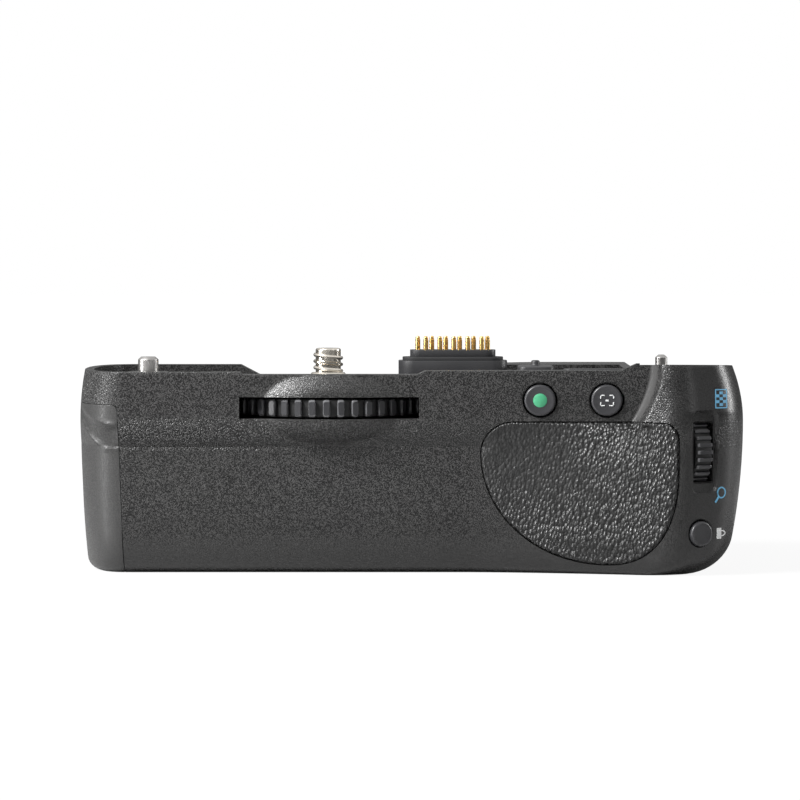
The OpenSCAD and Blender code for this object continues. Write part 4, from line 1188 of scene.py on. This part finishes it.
def rib_ring(name, count, radius_mm, wide_mm, tall_mm, deep_mm, material):
    """Ribs standing out from a circle round Z, each a rounded bar that narrows towards its top."""
    tree = Growth(name + "_tree", count=count, radius=radius_mm * MM, wide=wide_mm * MM, tall=tall_mm * MM,
                  deep=deep_mm * MM, finish=material)
    sides = {"Width": tree.given("tall"), "Height": tree.given("wide")}
    bar = tree.node("GeometryNodeCurvePrimitiveQuadrilateral", {"mode": "RECTANGLE"}, sides)
    bar = tree.node("GeometryNodeFilletCurve", {"mode": "POLY"}, {
        "Curve": bar, "Count": 4, "Radius": tree.given("wide") * 0.3})
    foot = tree.node("GeometryNodeFillCurve", {"mode": "NGONS"}, {"Curve": bar})
    rise = {"Mesh": foot, "Offset Scale": tree.given("deep") * 0.7}
    body = tree.node("GeometryNodeExtrudeMesh", {}, rise)
    top = Reading(tree, body.socket.node.outputs["Top"])
    upper = {"Mesh": body, "Selection": top, "Offset Scale": tree.given("deep") * 0.3}
    cap = tree.node("GeometryNodeExtrudeMesh", {}, upper)
    cap_top = Reading(tree, cap.socket.node.outputs["Top"])
    bar = tree.node("GeometryNodeScaleElements", {}, {
        "Geometry": cap, "Selection": cap_top, "Scale": 0.78})
    under = tree.node("GeometryNodeFlipFaces", {}, {"Mesh": foot})
    both = tree.node("GeometryNodeJoinGeometry", {}, {"Geometry": bar})
    tree.tree.links.new(under.socket, both.socket.node.inputs["Geometry"])
    rib = tree.node("GeometryNodeMergeByDistance", {}, {"Geometry": both, "Distance": 1e-6})
    angle = tree.node("GeometryNodeInputIndex") * (2 * math.pi) / tree.given("count")
    x = tree.node("ShaderNodeMath", {"operation": "COSINE"}, {0: angle}) * tree.given("radius")
    y = tree.node("ShaderNodeMath", {"operation": "SINE"}, {0: angle}) * tree.given("radius")
    place = tree.node("ShaderNodeCombineXYZ", {}, {"X": x, "Y": y})
    spots = tree.node("GeometryNodePoints", {}, {"Count": tree.given("count"), "Position": place})
    lean = tree.node("ShaderNodeCombineXYZ", {}, {"X": 0.0, "Y": math.pi / 2, "Z": angle})
    turned = tree.node("FunctionNodeEulerToRotation", {}, {"Euler": lean})
    ring = tree.node("GeometryNodeInstanceOnPoints", {}, {
        "Points": spots, "Instance": rib, "Rotation": turned})
    return tree.grow(name, ring, tree.given("finish"))


def ribbed_wheel(name, node, place, r, half, ribs, rib_deep, material):
    """A wheel core with rounded rims and its ring of ribs, joined into one piece."""
    core_r = r - rib_deep
    bevel, inner, rib_share = 0.35, 0.01, 0.5
    profile = [
        (0, -half + 0.5), (inner, -half + 0.5), (core_r * 0.55, -half + 0.5), (core_r * 0.62, -half),
        *rounding(core_r - bevel, -half + bevel, bevel, -90, 0),
        *rounding(core_r - bevel, half - bevel, bevel, 0, 90),
        (core_r * 0.62, half), (core_r * 0.55, half - 0.5), (inner, half - 0.5), (0, half - 0.5)]
    core = spun(name, profile, 128)
    core_faces = len(core.data.polygons)
    pitch = 2 * math.pi * r / ribs
    rib_wide, rib_tall = pitch * rib_share, 2 * half - 0.3
    ring = rib_ring(name + "_ribs", ribs, core_r - 0.25, rib_wide, rib_tall, rib_deep + 0.25, material)
    # Painted highlight: the sloping sides of the ribs take a lighter, glossier plastic.
    glossy_and_painted_glints = [core_faces + k for k, f in enumerate(ring.data.polygons)
            if 0.2 < f.normal.dot(Vector((f.center.x, f.center.y, 0)).normalized()) < 0.97]
    bm = bmesh.new()
    bm.from_mesh(core.data)
    bm.from_mesh(ring.data)
    bmesh.ops.transform(bm, matrix=Matrix.Scale(MM, 4) @ place @ Matrix.Scale(1 / MM, 4), verts=bm.verts)
    bm.to_mesh(core.data)
    bm.free()
    bpy.data.objects.remove(ring)
    dress(core, material, node, angle=30)
    core.data.materials.append(rib_edge_highlight_finish)
    for k in glossy_and_painted_glints:
        core.data.polygons[k].material_index = 1
    return core


def groove_shaded_plastic(name, place_mm, direction, low_mm, high_mm):
    """Black plastic, dull in the grooves, with painted shade in them and the ribs painted lighter: the
    distance from the axis tells rib from groove.
    """
    made = Finish(name, (0.022, 0.022, 0.024), 0.3)
    middle = made.node("ShaderNodeVectorMath", {"operation": "SUBTRACT"}, {
        0: made.place, 1: Vector(place_mm) * MM})
    across = made.node("ShaderNodeVectorMath", {"operation": "CROSS_PRODUCT"}, {
        0: middle, 1: Vector(direction)})
    away = made.node("ShaderNodeVectorMath", {"operation": "LENGTH"}, {0: across}, out="Value")
    rib = made.node("ShaderNodeMapRange", {}, {0: away, 1: low_mm * MM, 2: high_mm * MM})
    wear = made.grain(0.4, 2.0)
    # Painted shade and light: the grooves far darker than the colour, the ribs lighter, with a little
    # random tone.
    made.tint(rib * 0.85 + wear * 0.15, 0.1, 1.6)
    made.put("Roughness", 0.62 - rib * 0.34)
    made.bump(wear, 0.01, 0.5)
    return made.material


# Lighter, glossier plastic for the sides of the ribs, as painted highlights.
rib_edge_highlight_finish = satin_plastic("worn_edges", (0.11, 0.11, 0.115), 0.26)
wheel_r = (wheel_high[0] - wheel_low[0]) / 2
wheel_half, wheel_rib, dial_rib = (wheel_high[2] - wheel_low[2]) / 2, 1.1, 0.55
wheel_finish = groove_shaded_plastic(
    "wheel_plastic", (0, 0, wheel_z), (0, 0, 1), wheel_r - wheel_rib, wheel_r - 0.3)
wheel_place = Matrix.Translation((0, 0, wheel_z)) @ Matrix.Rotation(math.radians(2.0), 4, "Z")
fastening_wheel = ribbed_wheel(
    "fastening_wheel", "thumbwheel", wheel_place, wheel_r, wheel_half, 43, wheel_rib, wheel_finish)


def dial_wheel(name, node, middle, axis):
    """One of the two dials, with its own finish round its own axis."""
    finish = groove_shaded_plastic(node + "_plastic", middle, axis, dial_r - dial_rib, dial_r - 0.1)
    return ribbed_wheel(name, node, facing(middle, axis), dial_r, dial_w / 2, 36, dial_rib, finish)


rear_wheel = dial_wheel("rear_wheel", "rear_dial", dial_axis, facet_along)
front_wheel = dial_wheel("front_wheel", "front_dial", front_dial_mid, (1, 0, 0))
print("wheel faces:", [len(w.data.polygons) for w in (fastening_wheel, rear_wheel, front_wheel)])

# %% [markdown]
# ## Turned metal
# The camera screw is a quarter-inch screw. Its thread is a six-cornered ridge swept along a spiral,
# grown with Geometry Nodes; the same tree gives the tripod socket its inner thread.


# %% Screw, socket and pins
def thread(name, radius_mm, ridge_mm, pitch_mm, turns, material):
    """A ridge that climbs round Z from height 0."""
    tree = Growth(name + "_tree", radius=radius_mm * MM, ridge=ridge_mm * MM, pitch=pitch_mm * MM,
                  turns=float(turns), finish=material)
    radius, ridge = tree.given("radius"), tree.given("ridge")
    rise = tree.given("pitch") * tree.given("turns")
    path = tree.node("GeometryNodeCurveSpiral", {}, {
        "Resolution": 48, "Rotations": tree.given("turns"), "Start Radius": radius,
        "End Radius": radius, "Height": rise})
    corners = tree.node("GeometryNodeCurvePrimitiveCircle", {"mode": "RADIUS"}, {
        "Resolution": 6, "Radius": ridge})
    ridge_mesh = tree.node("GeometryNodeCurveToMesh", {}, {
        "Curve": path, "Profile Curve": corners, "Fill Caps": True})
    return tree.grow(name, ridge_mesh, tree.given("finish"))


def shift(piece, matrix):
    """Moves a baked piece to its place, given in millimetres, and keeps its object at the origin."""
    piece.data.transform(Matrix.Scale(MM, 4) @ matrix @ Matrix.Scale(1 / MM, 4))
    return piece


def add_mesh(piece, other):
    """Joins another piece's mesh into this one."""
    bm = bmesh.new()
    bm.from_mesh(piece.data)
    bm.from_mesh(other.data)
    bm.to_mesh(piece.data)
    bm.free()
    bpy.data.objects.remove(other)
    return piece


screw_low, screw_high = span("camera_screw")
screw_r, neck_r, journal_r = 3.175, 3.425, 2.4
screw_z = seat_z - 0.6
root_r, pitch = 2.5, 1.27
screw = spun("camera_screw_turned", [
    (0, screw_low[2]), (journal_r, screw_low[2]), (journal_r, wheel_low[2]), (neck_r, wheel_low[2]),
    (neck_r, screw_z - 0.25), (neck_r - 0.2, screw_z), (root_r, screw_z), (root_r, screw_high[2] - 0.45),
    *rounding(root_r - 0.4, screw_high[2] - 0.4, 0.4, 0, 90), (0, screw_high[2])], 96)
screw_thread = thread("screw_thread", screw_r - 0.55, 0.36, pitch, 2.9, nickel_finish)
add_mesh(screw, shift(screw_thread, Matrix.Translation((0, 0, screw_z + 0.3))))
dress(screw, nickel_finish, "camera_screw", angle=28)

for node in ("left_pin", "right_pin"):
    low, high = span(node)
    middle, r = (low + high) / 2, (high[0] - low[0]) / 2 - 0.3
    pin = spun(node + "_turned", [
        (0, low[2]), (r + 0.3, low[2]), (r + 0.3, seat_z - 0.1), (r + 0.2, seat_z), (r, seat_z),
        (r, high[2] - 0.62), *rounding(r - 0.12, high[2] - 0.6, 0.12, 0, 45, 3),
        (r - 0.5, high[2] - 0.1), (r - 0.62, high[2]), (0, high[2])], 64,
        Matrix.Translation((middle[0], middle[1], 0)))
    dress(pin, steel_finish, node, angle=25)

socket_low, socket_high = span("tripod_socket")
socket_r = (socket_high[0] - socket_low[0]) / 2
sides = 96
ring = [
    (socket_r - 0.3, 0.02), *rounding(socket_r - 0.3, 0.32, 0.3, -90, 0), (socket_r, socket_high[2]),
    (screw_r + 0.02, socket_high[2]), (screw_r + 0.02, 0.6), (screw_r + 0.6, 0.02)]
angles = np.linspace(0, 2 * math.pi, sides, endpoint=False)
points = [(r * math.cos(a), r * math.sin(a), z) for r, z in ring for a in angles]
faces = []
for j in range(len(ring)):
    low, high = j * sides, (j + 1) % len(ring) * sides
    for k in range(sides):
        q = (k + 1) % sides
        faces.append((low + k, low + q, high + q, high + k))
socket = new_object("tripod_socket_turned", points, faces)
outward(socket)
socket_thread = thread("socket_thread", screw_r + 0.1, 0.3, pitch, 3.2, steel_finish)
add_mesh(socket, shift(socket_thread, Matrix.Translation((0, 0, 0.8))))
dress(socket, steel_finish, "tripod_socket", angle=28)
print("screw out of the seat by", round(float(screw_high[2] - seat_z), 2), "mm")

# %% [markdown]
# ## Buttons
# Each rear button is a low moulded cap with a rounded edge and a slightly dished face. It is clipped
# into the cover from inside, so it keeps its stem. The first one has a green inlay; the second
# carries four printed corners round a dot, a general sign for picking a focus point.


# %% Button caps
def button_cap(name, node, place, r, out, root, stem):
    """A button on Z, with its face at out above the skin. stem lists the profile below the cap."""
    edge, deep = 0.45, 0.12
    dish = [(r * share, out - deep * (1 - share * share)) for share in (0.8, 0.6, 0.4, 0.2)]
    profile = [*stem, (r, root), (r, out - edge), *rounding(r - edge, out - edge, edge, 0, 90, 7)[1:]]
    profile += [*dish, (0, out - deep)]
    return dress(spun(name, profile, 96, place), key_finish, node, angle=35)


button_face, face_dish = rear_reach + button_out, 0.1
clip_back = {n: span(n)[1][1] for n in buttons}
clip_r, clip_h, stem_r = 2.0, 0.9, 1.2
for node, middle in buttons.items():
    back, stop = -(clip_back[node] + rear_reach), -2.0
    step = back + clip_h
    stem = [(0, back), (clip_r, back), (clip_r, step), (stem_r, step), (stem_r, stop)]
    button_place = facing_back(middle[0], rear_reach)
    button_cap(node + "_cap", node, button_place, button_r, button_out, stop, stem)
lock_back, shutter_back = -5.4, -4.6
button_cap("lock_button_cap", "lock_button", lock_place, lock_r, button_out, lock_back, [(0, lock_back)])
button_cap(
    "shutter_cap", "shutter_button", shutter_place, shutter_r, shutter_proud, shutter_back,
    [(0, shutter_back)])

dot_r = 1.35
dot_profile = [(0, -0.4), (dot_r, -0.4), (dot_r, 0.04), (dot_r - 0.1, 0.1), (0, 0.16)]
dot_place = facing_back(buttons["green_button"][0], button_face - face_dish)
dot = spun("green_dot", dot_profile, 64, dot_place)
dress(dot, green_finish, "green_button", replace=False)
print("button faces stand", button_out, "mm proud")

# %% [markdown]
# ## Printed marks
# The marks are screen printed. Each is drawn as strokes seen from the back; every corner of a stroke
# is dropped onto the wall behind it, so that the ink follows the bend of the facet. Ink has next to
# no thickness, so a stroke is a sheet a few hundredths of a millimetre thick.


# %% Strokes of ink
def stroke(path, width, closed=False):
    """Four-cornered patches along a path of (x, z) points."""
    path = [np.array(p, float) for p in path]
    pairs = list(zip(path, path[1:] + path[:1])) if closed else list(zip(path, path[1:]))
    patches = []
    for a, b in pairs:
        d = (b - a) / np.linalg.norm(b - a)
        side = np.array([-d[1], d[0]]) * width / 2
        over = d * width / 2
        pieces = max(1, int(np.linalg.norm(b - a) / 0.4))
        cuts = [a - over + (b - a + 2 * over) * k / pieces for k in range(pieces + 1)]
        patches += [(p + side, q + side, q - side, p - side) for p, q in zip(cuts, cuts[1:])]
    return patches


def printed(name, patches, surface_y, material, node, ink=0.05):
    """Drops patches onto a surface and gives them a little thickness."""
    points, faces = [], []
    for patch in patches:
        base = len(points)
        for lift in (ink, -ink):
            points += [(x, surface_y(x, z) - lift, z) for x, z in patch]
        faces += [(base, base + 1, base + 2, base + 3), (base + 7, base + 6, base + 5, base + 4)]
        faces += [(base + k, base + 4 + k, base + 4 + (k + 1) % 4, base + (k + 1) % 4) for k in range(4)]
    made = new_object(name, points, faces)
    bm = bmesh.new()
    bm.from_mesh(made.data)
    bmesh.ops.recalc_face_normals(bm, faces=bm.faces)
    bm.to_mesh(made.data)
    bm.free()
    return dress(made, material, node, replace=False)


cover_rays = BVHTree.FromPolygons(
    [tuple(v.co / MM) for v in rear_cover.data.vertices],
    [tuple(f.vertices) for f in rear_cover.data.polygons])


def on_cover(x, z):
    """Depth at which a line of sight from the back meets the rear cover."""
    return cover_rays.ray_cast(Vector((x, -60, z)), Vector((0, 1, 0)))[0].y


def seen_at(px, py, depth):
    """Place (x, z) whose picture, on a wall at the given depth, is at a pixel of the photograph."""
    ahead = (camera_aim - camera_at).normalized()
    right = ahead.cross(Vector((0, 0, 1))).normalized()
    across, down = ((p - photo_px / 2) / focal_px for p in (px, py))
    ray = ahead + right * across - right.cross(ahead) * down
    hit = camera_at / MM + ray * ((depth - camera_at.y / MM) / ray.y)
    return hit.x, hit.z


facet_depth = -18.8
grid_x, grid_z = seen_at(721.8, 399, facet_depth)
cell = np.array([0.72, 0.56])


def cells(x, z, size, places):
    """Filled cells of a grid round (x, z)."""
    return [[(x + (i + u / 2) * size[0], z + (j + v / 2) * size[1]) for u, v in square] for i, j in places]


rim_path = [(grid_x + u * 1.12, grid_z + v * 1.75) for u, v in square]
checks = [(i, j) for i in (-1, 0, 1) for j in (-2, -1, 0, 1, 2) if (i + j) % 2 == 0]
index_patches = cells(grid_x, grid_z, cell, checks) + stroke(rim_path, 0.22, True)
printed("index_mark", index_patches, on_cover, blue_finish, "rear_cover")

lens_x, lens_z = seen_at(722, 493, facet_depth)
angles = np.linspace(0, 2 * math.pi, 24, endpoint=False)
circle = [(lens_x + 0.78 * math.cos(a), lens_z + 1.0 * math.sin(a)) for a in angles]
handle = [(lens_x - 0.6, lens_z - 0.85), (lens_x - 1.15, lens_z - 1.75)]
lens_patches = stroke(circle, 0.26, True) + stroke(handle, 0.36)
printed("magnifier_mark", lens_patches, on_cover, blue_finish, "rear_cover")

lock_x, lock_mark_z = seen_at(719.6, 534, facet_depth)
case = [(lock_x, lock_mark_z - 0.6), (lock_x, lock_mark_z + 0.6)]
bow_r, angles = 0.62, np.linspace(0, math.pi, 14)
bow = [(lock_x + bow_r + bow_r * math.sin(a), lock_mark_z + 0.5 * math.cos(a)) for a in angles]
printed("lock_mark", stroke(case, 0.95) + stroke(bow, 0.24), on_cover, white_finish, "rear_cover")

focus_x = buttons["focus_button"][0]
frame_marks = []
for i, j in square:
    bracket = [(0.55, 1.0), (1.25, 1.0), (1.25, 0.45)]
    frame_marks += stroke([(focus_x + i * u, button_z + j * v) for u, v in bracket], 0.2)
frame_marks += stroke([(focus_x - 0.12, button_z), (focus_x + 0.12, button_z)], 0.36)
printed("focus_mark", frame_marks, lambda x, z: face_dish - button_face, white_finish, "focus_button", 0.09)
print("index mark at", round(grid_x, 1), round(grid_z, 1))
print("magnifier at", round(lens_x, 1), round(lens_z, 1))

# %% [markdown]
# ## Contacts
# Eleven spring pins meet the camera's contacts, six behind and five in front. One pin is turned as
# a template and Geometry Nodes set copies of it on two rows of points.


# %% Contact pins
def pin_rows(name, template, spots_mm, material):
    """Copies of a template piece on rows of points: spots lists (count, pitch, x, y)."""
    pins = None
    for k, (count, pitch_mm, x, y) in enumerate(spots_mm):
        tree = Growth(f"{name}_tree_{k}", count=count, pitch=pitch_mm * MM, x=x * MM, y=y * MM,
                      template=template, finish=material)
        start = tree.given("x") - (tree.given("count") - 1) * tree.given("pitch") * 0.5
        along = start + tree.node("GeometryNodeInputIndex") * tree.given("pitch")
        place = tree.node("ShaderNodeCombineXYZ", {}, {"X": along, "Y": tree.given("y")})
        spots = tree.node("GeometryNodePoints", {}, {"Count": tree.given("count"), "Position": place})
        shape = tree.node("GeometryNodeObjectInfo", {}, {
            "Object": tree.given("template")}, out="Geometry")
        rows = tree.node("GeometryNodeInstanceOnPoints", {}, {"Points": spots, "Instance": shape})
        row = tree.grow(f"{name}_{k}", rows, tree.given("finish"))
        pins = add_mesh(pins, row) if pins else row
    return pins


contact_low, contact_high = span("contact_base")
contact_x, contact_y = ((contact_low + contact_high) / 2)[:2]
pins_low, pins_high = span("contact_pins")
contact_r, contact_pitch, row_gap = 0.5, 2.78, 2.4
pin_top, tip_r = pins_high[2], contact_r - 0.06
template = spun("pin_template", [
    (0, pins_low[2]), (contact_r, pins_low[2]), (contact_r, pin_top - 0.75), (tip_r, pin_top - 0.7),
    (tip_r, pin_top - 0.4), *rounding(contact_r - 0.36, pin_top - 0.3, 0.3, 0, 90, 7), (0, pin_top)], 40)
contact_row = pin_rows("spring_pins", template, [
    (6, contact_pitch, contact_x, contact_y + row_gap / 2),
    (5, contact_pitch, contact_x + 0.2, contact_y - row_gap / 2)], gold_finish)
bpy.data.objects.remove(template)
dress(contact_row, gold_finish, "contact_pins", angle=28)
print("contact pins reach", round(float(pin_top), 2), "mm")

# %% [markdown]
# ## Softened solids
# Pieces that are plain in form already have the right shape in the solids. A merged copy of each
# gets narrow rounded edges, because no moulded or stamped edge is perfectly sharp, and a finish.


# %% Soften the plain pieces
def soften(node, width_mm, material, angle=30):
    """Merged copy of a solid with its sharp edges rounded."""
    source = frame["nodes"][node].data
    piece = bpy.data.objects.new(node + "_soft", bpy.data.meshes.new(node + "_soft"))
    scene.collection.objects.link(piece)
    bm = bmesh.new()
    bm.from_mesh(source)
    bmesh.ops.remove_doubles(bm, verts=bm.verts, dist=2e-6)
    bmesh.ops.dissolve_limit(bm, angle_limit=math.radians(0.5), verts=bm.verts, edges=bm.edges)
    sharp = [e for e in bm.edges if len(e.link_faces) == 2 and e.calc_face_angle(0) > math.radians(angle)]
    bmesh.ops.bevel(
        bm, geom=sharp, offset=width_mm * MM, offset_type="OFFSET", segments=2, profile=0.5,
        affect="EDGES", clamp_overlap=True)
    bmesh.ops.recalc_face_normals(bm, faces=bm.faces)
    bm.to_mesh(piece.data)
    bm.free()
    return dress(piece, material, node, angle=40)


plain = {
    "base_plate": (0.3, deck_finish), "top_plate": (0.25, deck_finish),
    "battery_chamber": (0.1, dark_finish), "chamber_contacts": (0.05, gold_finish),
    "wheel_bearing": (0.15, steel_finish), "screw_bush": (0.15, steel_finish),
    "contact_base": (0.3, dark_finish), "contact_seal": (0.15, seal_finish),
    "contact_block": (0.2, dark_finish), "stored_cap": (0.3, dark_finish),
    "tray_frame": (0.1, dark_finish), "battery_pack": (0.3, pack_finish),
    "pack_terminals": (0.06, gold_finish), "lock_knob": (0.25, dark_finish),
    "lock_shaft": (0.1, steel_finish), "lock_tongue": (0.15, steel_finish),
    "lock_lever": (0.25, key_finish), "lever_pin": (0.06, steel_finish),
    "button_board": (0.08, board_finish), "button_switches": (0.12, switch_finish),
    "lock_switch": (0.12, switch_finish), "rear_dial_shaft": (0.1, steel_finish),
    "front_dial_shaft": (0.1, steel_finish), "shutter_switch": (0.12, switch_finish),
    "power_ring": (0.2, key_finish), "circuit_board": (0.08, board_finish),
    "board_parts": (0.1, dark_finish), "flex_cable": (0.05, ribbon_finish)}
for node, (width, material) in plain.items():
    soften(node, width, material)
print("softened:", len(plain))
